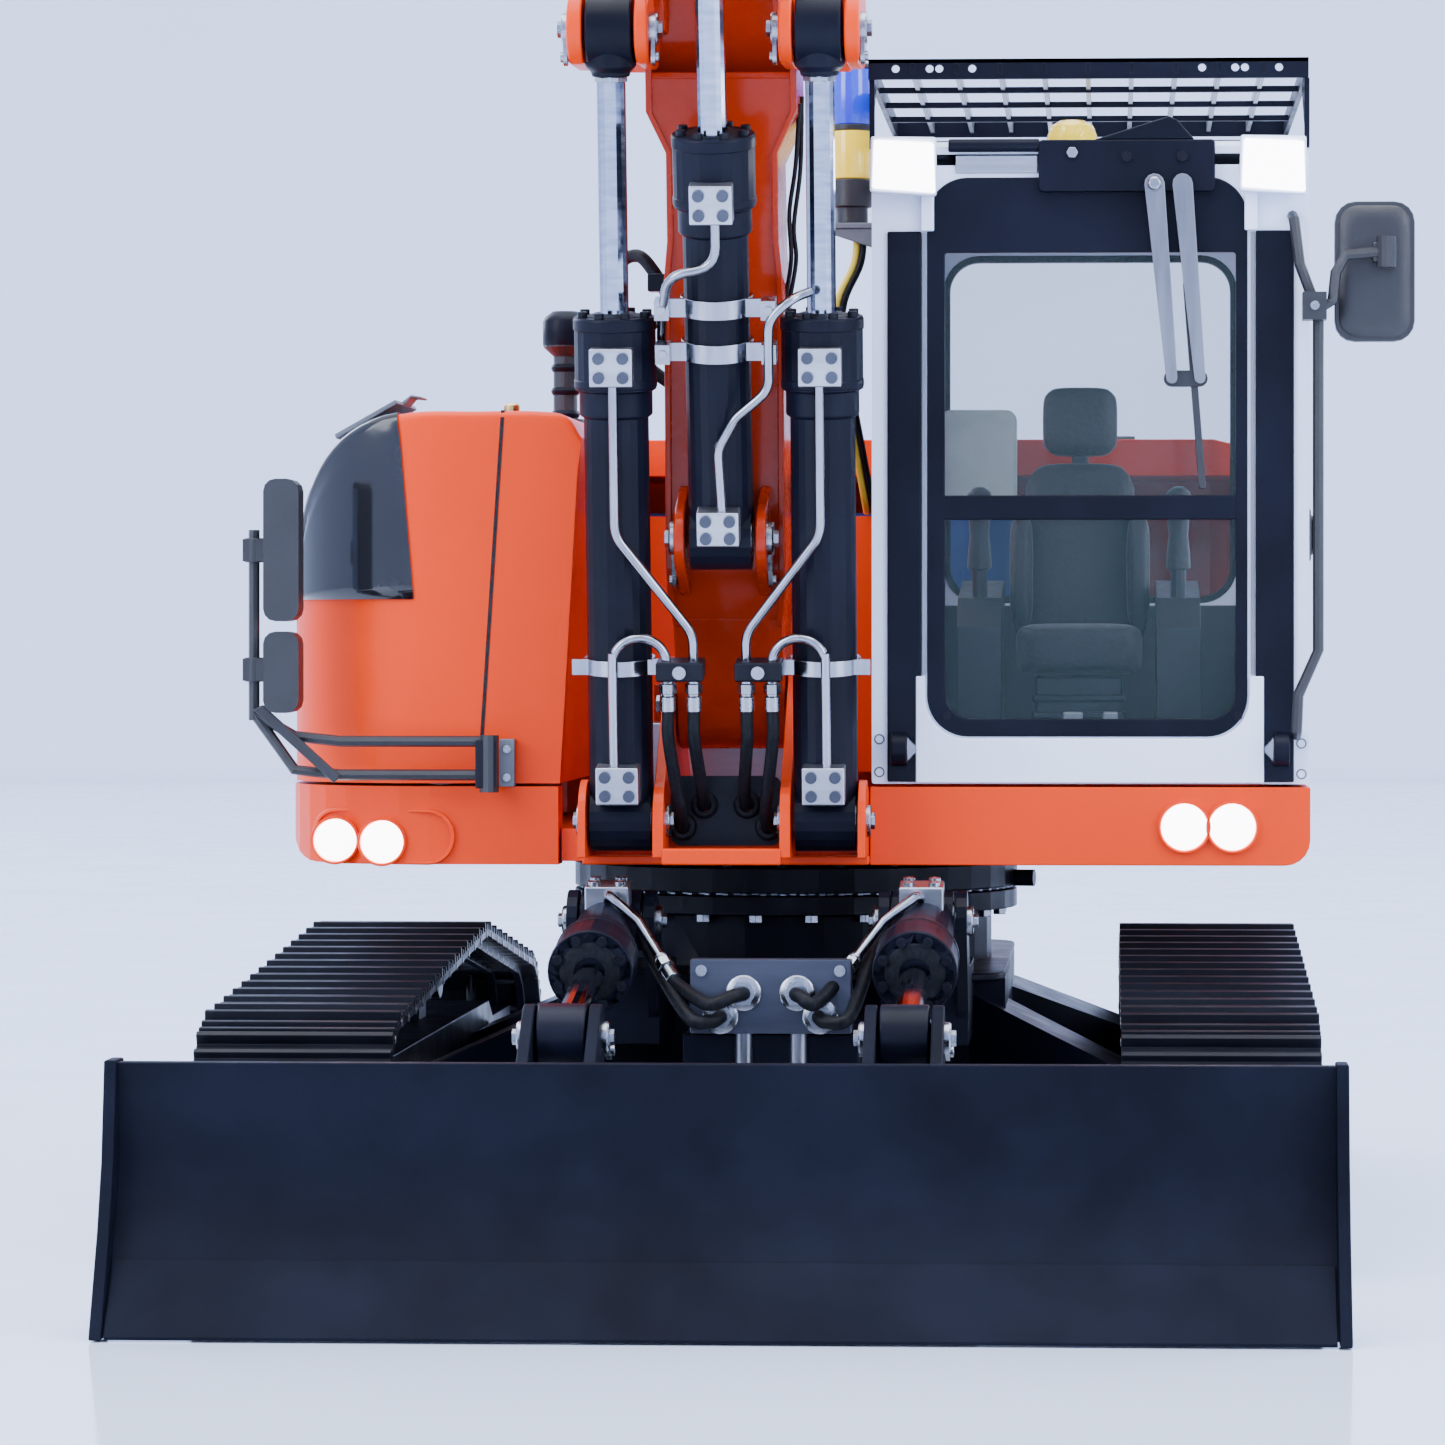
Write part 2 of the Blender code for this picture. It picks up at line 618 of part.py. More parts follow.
def make_upper_frame():
    plan = plan_corner(-91.4, -87.0, 24.6, 22.2)
    plan += [(-41.0, -87.0), (-41.0, -94.0), (19.8, -94.0), (19.8, -87.0), (100.2, -87.0)]
    plan += [(100.2, 47.0), (-91.4, 47.0)]
    add = [prism(plan, "Z", DECK_LOW, DECK_HIGH)]
    ear = [(-112.0, 79.0), (-40.0, 79.0), (-40.0, 90.0)]
    ear += arc(BOOM_FOOT, 10.0, 40.0, 130.0, 6)
    ear += arc(LIFT_BASE, 8.0, 110.0, 180.0, 5)
    outer_ear = [(-112.0, 79.0), (-84.0, 79.0), (-90.0, 90.0)] + arc(LIFT_BASE, 8.0, 60.0, 180.0, 8)
    add += cheeks(ear, 11.3, 13.4) + cheeks(outer_ear, 26.5, 28.0)
    node("upper_frame", "house", "orange_paint", add)


def make_hood():
    """The machine's right-hand engine hood and its lower centre part, a shell that is open below."""
    section = [(HOOD_LEFT, 93.0), (HOOD_LEFT, 118.0), (-96.6, 136.0), (-93.4, 150.0), (-88.5, 158.0)]
    section += [(-81.0, 163.6), (-71.0, HOOD_TOP), (-46.0, HOOD_TOP), (-40.0, 165.6), (-36.8, 162.0)]
    section += [(-36.4, 154.0), (-38.5, 125.0), (-41.2, 93.0)]
    stations = ((FRONT_Y, 0.955, 0.945), (-94.3, 0.972, 0.97), (-92.0, 0.988, 0.988), (-88.0, 1.0, 1.0), (39.0, 1.0, 1.0))
    middle = -68.0
    rings = []
    for y, narrow, lower in stations:
        rings.append([(middle + (x - middle) * narrow, y, 93.0 + (z - 93.0) * lower) for x, z in section])
    inner = [(-95.0, 90.0), (-95.0, 118.0), (-93.0, 138.0), (-88.0, 152.0), (-76.0, 162.0), (-43.0, 162.0)]
    inner += [(-40.6, 150.0), (-44.2, 90.0)]
    add = [rings_to_mesh(rings), box((-44.0, 2.0, 93.0), (18.6, 39.0, 148.0))]
    cut = [prism(inner, "Y", FRONT_Y + HOOD_CORNER + 1.0, 36.0), box((-38.0, 5.0, 90.0), (15.6, 36.0, 145.0))]
    cut.append(box((-80.0, FRONT_Y + 7.0, 90.0), (-46.0, FRONT_Y + HOOD_CORNER + 2.0, 160.0)))
    cut.append(corner_cutter(FRONT_Y, HOOD_CORNER, 90.0, 170.0))
    node("engine_hood", "house", "orange_paint", add, cut)


def make_hood_panel():
    """The dark grille panel on the hood's outer shoulder."""
    outline = [(-72.0, 167.4), (-81.6, 164.5), (-89.4, 158.7), (-94.4, 150.3), (-97.5, 136.2), (-98.4, 130.0)]
    inner = [(-97.7, 130.0), (-96.95, 136.1), (-93.85, 150.1), (-88.95, 158.25), (-81.3, 163.95), (-72.0, 166.95)]
    node("hood_panel", "house", "black_plastic", [prism(outline + inner, "Y", FRONT_Y + HOOD_CORNER + 1.0, 30.0)])


def make_skirts():
    left = [(-41.4, SKIRT_LOW), (-41.4, SKIRT_HIGH), (HOOD_LEFT, SKIRT_HIGH)]
    left += arc((HOOD_LEFT + 7.0, SKIRT_LOW + 7.0), 7.0, 180.0, 270.0, 6)
    hollow = plan_corner(-92.0, -87.6, 25.0, 22.6) + [(-30.0, -87.6), (-30.0, 60.0), (-92.0, 60.0)]
    cut = [prism(hollow, "Z", 70.0, 100.0), corner_cutter(FRONT_Y - 1.0, HOOD_CORNER + 1.0, 70.0, 100.0)]
    node("hood_skirt", "house", "orange_paint", [prism(left, "Y", FRONT_Y - 1.0, 47.6)], cut)
    right = [(20.2, SKIRT_HIGH), (20.2, SKIRT_LOW)]
    right += arc((106.7 - 5.0, SKIRT_LOW + 5.0), 5.0, 270.0, 360.0, 5)
    right += [(106.7, SKIRT_HIGH)]
    cut = [box((10.0, -87.6, 70.0), (100.8, 60.0, 100.0))]
    node("cab_skirt", "house", "orange_paint", [prism(right, "Y", FRONT_Y - 1.0, 47.6)], cut)


def tail_plan(inset):
    """The plan of the rounded tail, from the machine's right side round to its left."""
    high = REAR_Y - inset
    plan = [(HOOD_LEFT + inset, 48.2)]
    for index in range(17):
        angle = math.radians(180.0 - 180.0 * index / 16)
        wide = math.copysign(abs(math.cos(angle)) ** 0.55, math.cos(angle))
        deep = abs(math.sin(angle)) ** 0.8
        plan.append((4.3 + (102.2 - inset) * wide, 56.0 + (high - 56.0) * deep))
    plan.append((106.5 - inset, 48.2))
    return plan


def make_tail():
    node("counterweight", "house", "orange_paint", [prism(tail_plan(0.0), "Z", SKIRT_LOW, 118.0)])
    rings = []
    for z, inset in ((118.5, 0.6), (150.0, 1.2), (160.0, 4.0), (164.5, 9.0), (166.2, 16.0)):
        rings.append([(x, y, z) for x, y in tail_plan(inset)])
    inner = [(x, 47.0 if y < 49.0 else y, 0.0) for x, y in tail_plan(7.0)]
    cutter = rings_to_mesh([[(x, y, z) for x, y, _ in inner] for z in (110.0, 158.0)])
    node("rear_lid", "rear_lid", "orange_paint", [rings_to_mesh(rings)], [cutter])


def make_inside():
    """What the hoods cover: pump, tank, battery and the valve block behind the boom's foot."""
    pump = [(0.0, 0.0), (0.0, 9.0), (5.0, 11.0), (32.0, 11.0), (33.0, 8.0), (40.0, 8.0), (40.0, 12.0), (54.0, 12.0)]
    pump += [(54.0, 0.0)]
    foot = box((-76.0, -70.0, DECK_HIGH + GAP), (-58.0, -30.0, 92.0))
    node("hydraulic_pump", "house", "brushed_aluminium", [turned(pump, (-67.0, -78.0, 101.0), (0, 1, 0)), foot])
    tank = prism(rounded_rectangle((-90.0, -14.0), (-48.0, 32.0), 4.0), "Z", DECK_HIGH + GAP, 138.0)
    cap = cylinder((-69.0, 8.0, 137.0), (0.0, 0.0, 1.0), 8.0, 8.0)
    node("oil_tank", "house", "tank_steel", [tank, cap])
    battery = prism(rounded_rectangle((56.0, 118.4), (88.0, 150.0), 2.0), "X", -60.0, 60.0)
    node("battery_pack", "house", "battery_wrap", [battery])
    valve = [box((-30.0, -40.0, DECK_HIGH + GAP), (14.0, -16.0, 104.0))]
    for index in range(5):
        valve.append(cylinder((-25.0 + 8.5 * index, -28.0, 103.0), (0.0, 0.0, 1.0), 3.2, 9.0, 12))
    node("valve_block", "house", "brushed_aluminium", valve)


def make_exhaust():
    stack = [(0.0, 0.0), (0.0, 4.0), (2.0, 4.0), (2.0, 2.6), (15.5, 2.6), (17.5, 4.8), (23.0, 4.8), (25.0, 3.0), (25.0, 0.0)]
    node("exhaust_stack", "house", "black_plastic", [turned(stack, (-50.0, 2.0, HOOD_TOP + GAP), (0, 0, 1))])


def make_beacon_tower():
    tower = [(0.0, 0.0), (0.0, 4.2), (7.0, 4.2), (8.0, 4.0), (17.0, 4.0), (18.0, 4.4), (19.5, 4.0), (30.5, 4.0)]
    tower += [(33.5, 2.6), (34.5, 0.0)]
    bracket = box((9.0, -36.0, 206.4), (CAB_LOW[0] - GAP, -24.0, 208.4))
    node("beacon_tower", "house", "black_plastic", [bracket, turned(tower, (13.4, -30.0, 207.6), (0, 0, 1), 16)])


def make_mirror_bracket():
    x, y, z = MIRROR_HINGE
    end = -101.0
    add = [cylinder((x, y, z - 5.6), (0.0, 0.0, 1.0), 1.9, 11.2, 12)]
    for height in (101.4, 94.8):
        add.append(pipe([(x - 1.0, y, height), (-84.0, y, height), (-93.0, y, height + 1.0), (end, y, 107.0)], 1.1))
    add.append(pipe([(end, y, 105.5), (end, y, 143.0)], 1.1))
    for height, low, high in ((139.0, 125.0, 153.0), (115.5, 107.0, 123.0)):
        add.append(box((end - 2.0, y - 1.8, height - 2.2), (end + 5.5, y + 1.8, height + 2.2)))
        head = rounded_rectangle((-98.6, low), (-91.6, high), 2.4, 3)
        add.append(prism(head, "Y", y - 4.0, y + 2.6))
    node("mirror_bracket", "mirror_bracket", "black_plastic", add)


# ---------------------------------------------------------------- cab

FRONT_WINDOW = ((31.0, 103.0), (95.0, 212.0))
DOOR_WINDOW = ((-87.6, 97.4), (-4.4, 208.0))
SIDE_WINDOW = ((-80.0, 122.0), (20.0, 206.0))
REAR_WINDOW = ((31.0, 130.0), (95.0, 206.0))


def inside(first, second, window):
    (low_a, low_b), (high_a, high_b) = window
    return low_a < first < high_a and low_b < second < high_b


def cab_is_solid(x, y, z):
    """Whether a point is in the cab's walls, floor or roof."""
    if z < CAB_LOW[2] + CAB_WALL or z > CAB_HIGH[2] - 5.0:
        return True
    if y < CAB_LOW[1] + CAB_WALL:
        return not inside(x, z, FRONT_WINDOW)
    if y > CAB_HIGH[1] - CAB_WALL:
        return not inside(x, z, REAR_WINDOW)
    if x > CAB_HIGH[0] - CAB_WALL:
        return not inside(y, z, DOOR_WINDOW)
    if x < CAB_LOW[0] + CAB_WALL:
        return not inside(y, z, SIDE_WINDOW)
    return False


def make_cab_shell():
    xs = (CAB_LOW[0], CAB_LOW[0] + CAB_WALL, 31.0, 95.0, CAB_HIGH[0] - CAB_WALL, CAB_HIGH[0])
    ys = (CAB_LOW[1], CAB_LOW[1] + CAB_WALL, -87.6, -80.0, -4.4, 20.0, CAB_HIGH[1] - CAB_WALL, CAB_HIGH[1])
    zs = (CAB_LOW[2], CAB_LOW[2] + CAB_WALL, 97.4, 103.0, 122.0, 130.0, 206.0, 208.0, 212.0, 215.0, CAB_HIGH[2])
    node("cab_shell", "house", "white_paint", [cells(xs, ys, zs, cab_is_solid)])


def make_cab_door():
    (low_y, low_z), (high_y, high_z) = DOOR_WINDOW
    outline = rounded_rectangle((low_y + GAP, low_z + GAP), (high_y - GAP, high_z - GAP), 3.0, 2)
    handle = box((106.0, -82.0, 138.0), (108.0, -79.0, 146.0))
    node("cab_door", "cab_door", "white_paint", [prism(outline, "X", 104.4, 106.6), handle])


def make_windscreen():
    (low_x, low_z), (high_x, high_z) = FRONT_WINDOW
    outline = rounded_rectangle((low_x + GAP, low_z + GAP), (high_x - GAP, high_z - GAP), 7.0, 4)
    node("windscreen", "house", "window_glass", [prism(outline, "Y", -93.9, -92.7)])


def make_roof_guard():
    """A flat grille on four posts over the cab's roof."""
    slats = [24.0 + 9.0 * index for index in range(10)]
    bars = [-93.5 + 30.0 * index for index in range(5)]
    bar = 0.7
    xs = sorted([20.5, 106.5] + [x + shift for x in slats[1:-1] for shift in (-bar, bar)] + [22.3, 104.7])
    ys = sorted([y + shift for y in bars for shift in (-1.2, 1.2)])
    zs = (CAB_HIGH[2] + GAP, 231.8, 235.8)

    def solid(x, y, z):
        on_side = x < 22.3 or x > 104.7
        on_bar = any(abs(y - line) < 1.2 for line in bars)
        on_slat = on_side or any(abs(x - line) < bar for line in slats[1:-1])
        if z < 231.8:
            return on_side and (y < -92.3 or y > 25.3)
        return on_bar or on_slat

    node("roof_guard", "house", "black_paint", [cells(xs, ys, zs, solid)])


def make_roof_lamp(name, low_x):
    lens = [(low_x, 210.0), (low_x + 12.4, 209.0), (low_x + 12.0, 218.8), (low_x + 0.4, 219.4)]
    body = [(low_x + 3.0, 211.5), (low_x + 9.4, 211.5), (low_x + 9.4, 217.5), (low_x + 3.0, 217.5)]
    rings = [[(x, -100.5, z) for x, z in lens], [(x, -98.5, z) for x, z in lens], [(x, -95.0, z) for x, z in body]]
    node(name, "house", "lamp_glass", [rings_to_mesh(rings)])


def make_seat():
    back = [(-14.0, 122.0), (-2.0, 118.0), (6.0, 158.0), (0.0, 160.0), (-5.0, 156.0)]
    cushion = rounded_rectangle((-52.0, 114.0), (-6.0, 125.0), 4.0, 3)
    add = [prism(cushion, "X", 47.5, 74.5), prism(back, "X", 48.5, 73.5)]
    add.append(prism(rounded_rectangle((-1.0, 160.5), (7.0, 176.0), 3.0, 3), "X", 52.8, 69.2))
    add.append(box((59.0, 1.0, 155.0), (63.0, 4.0, 164.0)))
    add.append(box((52.0, -44.0, 98.4), (70.0, -12.0, 116.0)))
    node("seat", "house", "seat_leather", add)


def make_console():
    add = [box((36.0, -50.0, 95.9), (86.0, 2.0, 98.0))]
    for low in (36.0, 77.0):
        arm = [(-46.0, 97.0), (-20.0, 97.0), (-6.0, 128.0), (-8.0, 134.0), (-44.0, 130.0), (-48.0, 124.0)]
        add.append(prism(arm, "X", low, low + 9.0))
        add.append(cylinder((low + 4.5, -42.0, 128.0), (0.0, -0.15, 1.0), 1.6, 14.0, 10))
    node("console", "house", "black_plastic", add)


def make_handrail():
    front = -99.0
    rail = [(103.2, -95.2, 204.6), (103.4, -98.2, 203.8), (104.5, front, 194.8), (107.1, front, 187.9)]
    rail += [(108.1, front, 184.0), (108.1, front, 119.3), (104.2, front, 110.5), (103.9, -98.4, 103.5)]
    rail += [(103.9, -95.2, 102.7)]
    x, y, z = DOOR_MIRROR_HINGE
    arm = [(108.8, y, 186.5), (110.8, y, 187.5), (111.4, y, 193.0), (113.4, y, z - 0.6), (x - 1.0, y, z)]
    add = [pipe(rail, 1.1), box((105.0, -103.2, 183.8), (109.6, -97.6, 189.2)), pipe(arm, 1.1)]
    add.append(cylinder((x, y, z - 3.0), (0.0, 0.0, 1.0), 1.9, 6.0, 12))
    node("handrail", "house", "black_plastic", add)


def make_door_mirror():
    head = rounded_rectangle((111.4, 179.8), (127.0, 207.2), 4.0, 4)
    node("door_mirror", "door_mirror", "black_plastic", [prism(head, "Y", -97.7, -93.7)])


def make_wiper():
    """Two parallel arms and the blade they carry; the blade keeps its direction as the arms swing."""
    x, y, z = WIPER_PIVOT
    for name, shift in (("wiper_drive_arm", 0.0), ("wiper_guide_arm", WIPER_SPACING)):
        outline = strap((x + shift, z), 2.0, (x + shift + WIPER_REACH[0], z + WIPER_REACH[1]), 1.1, 6)
        post = cylinder((x + shift, -98.9, z), (0.0, 1.0, 0.0), 1.4, 98.9 + CAB_LOW[1] - GAP, 12)
        node(name, name, "brushed_aluminium", [prism(outline, "Y", -99.4, -98.2), post])
    end = (x + WIPER_REACH[0], z + WIPER_REACH[1])
    top = (end[0] + 2.9, end[1] + 18.5)
    tip = (end[0] + 6.0, end[1] - 21.0)
    add = [prism(strap(end, 1.6, (end[0] + WIPER_SPACING, end[1]), 1.6, 6), "Y", -97.8, -96.4)]
    add.append(prism(strap(tip, 0.7, top, 0.7, 3), "Y", -97.2, -95.8))
    node("wiper_blade", "wiper_blade", "black_plastic", add)


# ---------------------------------------------------------------- arm


def centred(outline, half_width):
    """An outline of the side view as a plate or block centred on the arm's plane."""
    return prism(outline, "X", BOOM_X - half_width, BOOM_X + half_width)


def cheeks(outline, inner, outer):
    """A pair of plates on both sides of the arm's plane."""
    return [
        prism(outline, "X", BOOM_X + inner, BOOM_X + outer),
        prism(outline, "X", BOOM_X - outer, BOOM_X - inner),
    ]


def make_boom_lower():
    beam = arc(BOOM_FOOT, 8.5, 200.0, 340.0, 8)
    beam += [(-64.0, 118.0), (-78.0, 196.0), (-95.0, 252.0)]
    beam += arc(FOLD_PIN, 11.0, -30.0, 200.0, 10)
    beam += [(-124.0, 250.0), (-114.5, 236.0), (-105.0, 182.0), (-101.0, 136.0)]
    head = [(-92.0, 240.0), (-92.0, 256.0)] + arc(FOLD_PIN, 11.0, -30.0, 180.0, 10)
    head += [(-124.0, 250.0), (-117.0, 234.0), (-108.0, 224.0)]
    add = [centred(beam, 10.8), centred(head, 14.8)]
    lift_box = [(-100.0, 226.0), (-100.0, 248.0), (-119.5, 252.0), (-119.5, 228.0)]
    add.append(centred(lift_box, 28.0))
    ear = strap(LIFT_ROD_PIN, 7.6, (-112.0, 239.0), 8.0)
    add += cheeks(ear, LIFT_SPACING + 5.0, LIFT_SPACING + 8.0) + cheeks(ear, LIFT_SPACING - 7.6, LIFT_SPACING - 5.0)
    fold_ear = strap(FOLD_BASE, 6.8, (-95.0, 141.0), 12.0)
    add += cheeks(fold_ear, 6.8, 9.0)
    slot = box((BOOM_X - 10.4, -150.0, 250.5), (BOOM_X + 10.4, -80.0, 300.0))
    node("boom_lower", "boom_lower", "boom_paint", add, [slot])


def boom_point(along, above):
    """A (y, z) point given by its distance along the upper boom from its root pin, and above its centre line."""
    slope = math.degrees(math.atan2(STICK_PIN[1] - FOLD_PIN[1], FOLD_PIN[0] - STICK_PIN[0]))
    return polar(polar(FOLD_PIN, along, slope), above, 90.0 + slope)


def make_boom_upper():
    length = math.hypot(STICK_PIN[0] - FOLD_PIN[0], STICK_PIN[1] - FOLD_PIN[1])
    beam = [boom_point(along, above) for along, above in ((-4.0, 8.0), (30.0, 11.5), (100.0, 12.0), (length - 14.0, 8.5))]
    beam += [boom_point(along, above) for along, above in ((length - 14.0, -8.5), (90.0, -14.0), (40.0, -13.0))]
    beam += [(-157.0, 268.0), (-155.0, 259.0), (-148.0, 255.4), (-131.0, 260.0), (-122.0, 260.5), (-114.0, 264.0)]
    end = belt(((*STICK_PIN, 8.6), (*boom_point(length - 32.0, 0.0), 9.4)), 8)
    base_ear = strap(STICK_BASE, 6.4, boom_point(52.0, 6.0), 12.0)
    add = [centred(beam, 9.8)] + cheeks(end, 8.5, 11.2) + cheeks(base_ear, 6.6, 9.2)
    root_ear = strap(FOLD_ROD_PIN, 6.8, boom_point(30.0, -4.0), 10.0)
    add += cheeks(root_ear, 4.8, 7.6)
    slot = box((BOOM_X - 4.8, -164.0, 240.0), (BOOM_X + 4.8, -138.0, 270.5))
    throat = centred(arc(STICK_PIN, 13.5, 0.0, 337.5, 15), 8.4)
    node("boom_upper", "boom_upper", "boom_paint", add, [slot, throat])


def make_stick():
    lower = [stick_point(-8.0, -6.0), stick_point(2.0, -10.5), stick_point(100.0, -8.5)]
    tip = [stick_point(STICK_LENGTH + 6.0 * math.sin(math.radians(a)), -6.0 * math.cos(math.radians(a))) for a in range(0, 181, 30)]
    upper = [stick_point(104.0, 6.0), stick_point(60.0, 7.5), stick_point(28.0, 12.0), stick_point(-8.0, 12.0)]
    beam = lower + tip + upper + [stick_point(-11.0, 0.0)]
    rear_ear = strap(STICK_ROD_PIN, 5.8, stick_point(-2.0, 3.0), 9.0)
    base_ear = strap(BUCKET_BASE, 6.2, stick_point(20.0, 5.0), 9.0)
    add = [centred(beam, 8.0)] + cheeks(rear_ear, 4.2, 6.6) + cheeks(base_ear, 6.3, 8.0)
    base_slot = [stick_point(along, above) for along, above in ((4.0, 16.4), (40.0, 16.4), (40.0, 40.0), (4.0, 40.0))]
    narrow = [stick_point(along, above) for along, above in ((104.0, -20.0), (170.0, -20.0), (170.0, 20.0), (104.0, 20.0))]
    cut = [centred(base_slot, 6.2)] + cheeks(narrow, 5.5, 12.0)
    rear_slot = [stick_point(along, above) for along, above in ((-40.0, 9.0), (-12.0, 9.0), (-12.0, 40.0), (-40.0, 40.0))]
    tip_slot = [stick_point(along, above) for along, above in ((112.0, 5.0), (120.0, 2.4), (170.0, 2.4), (170.0, 20.0), (112.0, 20.0))]
    cut += [centred(rear_slot, 4.2), centred(tip_slot, 4.2)]
    node("stick", "stick", "boom_paint", add, cut)


def make_linkage():
    end = polar(ROCKER_PIN, ROCKER_LENGTH + 7.4, ROCKER_ANGLE - STICK_ANGLE)
    add = cheeks(strap(ROCKER_PIN, 4.8, end, 2.6), 5.9, 8.1)
    web = cross_pin(at(BOOM_X, end), 1.4, 7.0, 10)
    node("rocker", "rocker", "black_paint", [add[0], web, add[1]])
    link = strap(ROCKER_TIP, 4.4, LINK_TIP, 4.4)
    add = cheeks(link, 8.5, 10.7)
    above = polar(((ROCKER_TIP[0] + LINK_TIP[0]) / 2, (ROCKER_TIP[1] + LINK_TIP[1]) / 2), 3.0, 90.0 - STICK_ANGLE)
    web = cross_pin(at(BOOM_X, above), 1.4, 9.6, 10)
    node("bucket_link", "bucket_link", "black_paint", [add[0], web, add[1]])


def bucket_point(reach, depth):
    """A (y, z) point of the bucket: reach towards the teeth from the bucket pin, depth towards the belly."""
    teeth = ROCKER_ANGLE - STICK_ANGLE + 180.0
    return polar(polar(BUCKET_PIN, reach, teeth), depth, teeth + 90.0)


def make_bucket():
    half = 32.0
    outer = [(5.0, 9.0), (-27.0, 9.0), (-31.0, 18.0), (-28.5, 33.0), (-18.5, 45.5), (0.0, 52.0), (20.0, 50.0)]
    outer += [(44.0, 34.0), (62.0, 15.0)]
    inner = [(6.5, -4.0), (5.0, 11.0), (-25.5, 11.0), (-28.8, 18.5), (-26.4, 32.0), (-17.2, 43.6), (0.0, 49.8)]
    inner += [(19.2, 47.9), (42.5, 32.4), (60.2, 13.0), (62.0, 0.0)]
    add = [centred([bucket_point(*point) for point in outer], half)]
    ear = [(-20.0, 12.0), (10.0, 12.0)]
    ears = [bucket_point(*point) for point in ear]
    cheek = belt(((*BUCKET_PIN, 6.4), (*ears[1], 1.5), (*ears[0], 1.5), (*LINK_TIP, 5.6)), 5)
    add += cheeks(cheek, 11.2, 13.6)
    for index in range(5):
        x = BOOM_X - half + 6.4 + 12.8 * index
        tooth = [bucket_point(*point) for point in ((57.0, 17.0), (60.0, 21.4), (72.0, 5.5), (64.5, 9.5))]
        add.append(prism(tooth, "X", x - 2.6, x + 2.6))
    cut = [centred([bucket_point(*point) for point in inner], half - 2.0)]
    node("bucket", "bucket", "black_steel", add, cut)


clear_scene()
PAINTS = make_materials()
EMPTIES = make_empties()
make_car_body()
for name, side in (("left", 1.0), ("right", -1.0)):
    make_track_frame(side, "track_frame_" + name)
    make_track(side, "track_" + name)
    make_sprocket(side, "sprocket_" + name)
    make_idler(side, "idler_" + name)
make_slew_rings()
make_manifold()
make_cylinders()
make_blade()
make_upper_frame()
make_hood()
make_hood_panel()
make_skirts()
make_tail()
make_inside()
make_exhaust()
make_beacon_tower()
make_mirror_bracket()
make_cab_shell()
make_cab_door()
make_windscreen()
make_roof_guard()
make_roof_lamp("roof_lamp_right", 20.8)
make_roof_lamp("roof_lamp_left", 93.2)
make_seat()
make_console()
make_handrail()
make_door_mirror()
make_wiper()
make_boom_lower()
make_boom_upper()
make_stick()
make_linkage()
make_bucket()
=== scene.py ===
"""The looks of the radio-controlled excavator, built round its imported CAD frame.

Places are in millimetres from the point on the ground under the slew axis: -Y is the way the cab looks and +X
is the cab's side. place() turns them into the frame's metres. Pins and boxes are read from the frame.
"""

import json
import math

import bmesh
import bpy
from mathutils import Matrix, Vector


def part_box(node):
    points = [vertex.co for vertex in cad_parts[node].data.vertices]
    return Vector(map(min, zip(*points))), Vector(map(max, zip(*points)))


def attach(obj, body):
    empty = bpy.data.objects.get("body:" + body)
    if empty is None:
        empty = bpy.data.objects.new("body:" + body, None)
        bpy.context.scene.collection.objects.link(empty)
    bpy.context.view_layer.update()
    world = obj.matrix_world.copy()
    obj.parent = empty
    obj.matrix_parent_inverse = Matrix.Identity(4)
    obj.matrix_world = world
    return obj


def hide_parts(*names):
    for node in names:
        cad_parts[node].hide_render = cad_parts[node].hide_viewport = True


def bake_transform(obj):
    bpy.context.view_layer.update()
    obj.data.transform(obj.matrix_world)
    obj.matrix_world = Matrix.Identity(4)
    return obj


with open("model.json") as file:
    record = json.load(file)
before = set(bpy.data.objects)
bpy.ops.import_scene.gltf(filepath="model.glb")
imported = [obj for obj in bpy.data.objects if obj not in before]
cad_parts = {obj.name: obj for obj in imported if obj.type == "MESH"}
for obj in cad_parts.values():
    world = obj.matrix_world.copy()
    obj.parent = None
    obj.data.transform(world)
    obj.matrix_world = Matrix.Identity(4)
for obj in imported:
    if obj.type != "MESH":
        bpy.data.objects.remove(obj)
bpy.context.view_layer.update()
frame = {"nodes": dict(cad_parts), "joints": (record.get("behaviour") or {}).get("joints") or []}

MM = 0.001
JOINTS = {joint["name"]: joint for joint in frame["joints"]}
SLEW_AXIS = Vector(JOINTS["slew"]["pos_m"])
ORIGIN = Vector((SLEW_AXIS.x, SLEW_AXIS.y, 0.0))
LEFT, RIGHT = 1.0, -1.0
SIDES = ((LEFT, "left"), (RIGHT, "right"))
FORWARD = (0, -1, 0)
X_AXIS, Y_AXIS, Z_AXIS = Vector((1, 0, 0)), Vector((0, 1, 0)), Vector((0, 0, 1))


def place(point):
    """A point in millimetres from the slew axis, in the frame's metres."""
    return Vector(point) * MM + ORIGIN


def pin(joint):
    """A joint's place in millimetres from the slew axis."""
    return (Vector(JOINTS[joint]["pos_m"]) - ORIGIN) / MM


def node_box(node):
    """A CAD node's lowest and highest corners in millimetres from the slew axis."""
    low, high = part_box(node)
    return (Vector(low) - ORIGIN) / MM, (Vector(high) - ORIGIN) / MM


# ---------------------------------------------------------------- materials


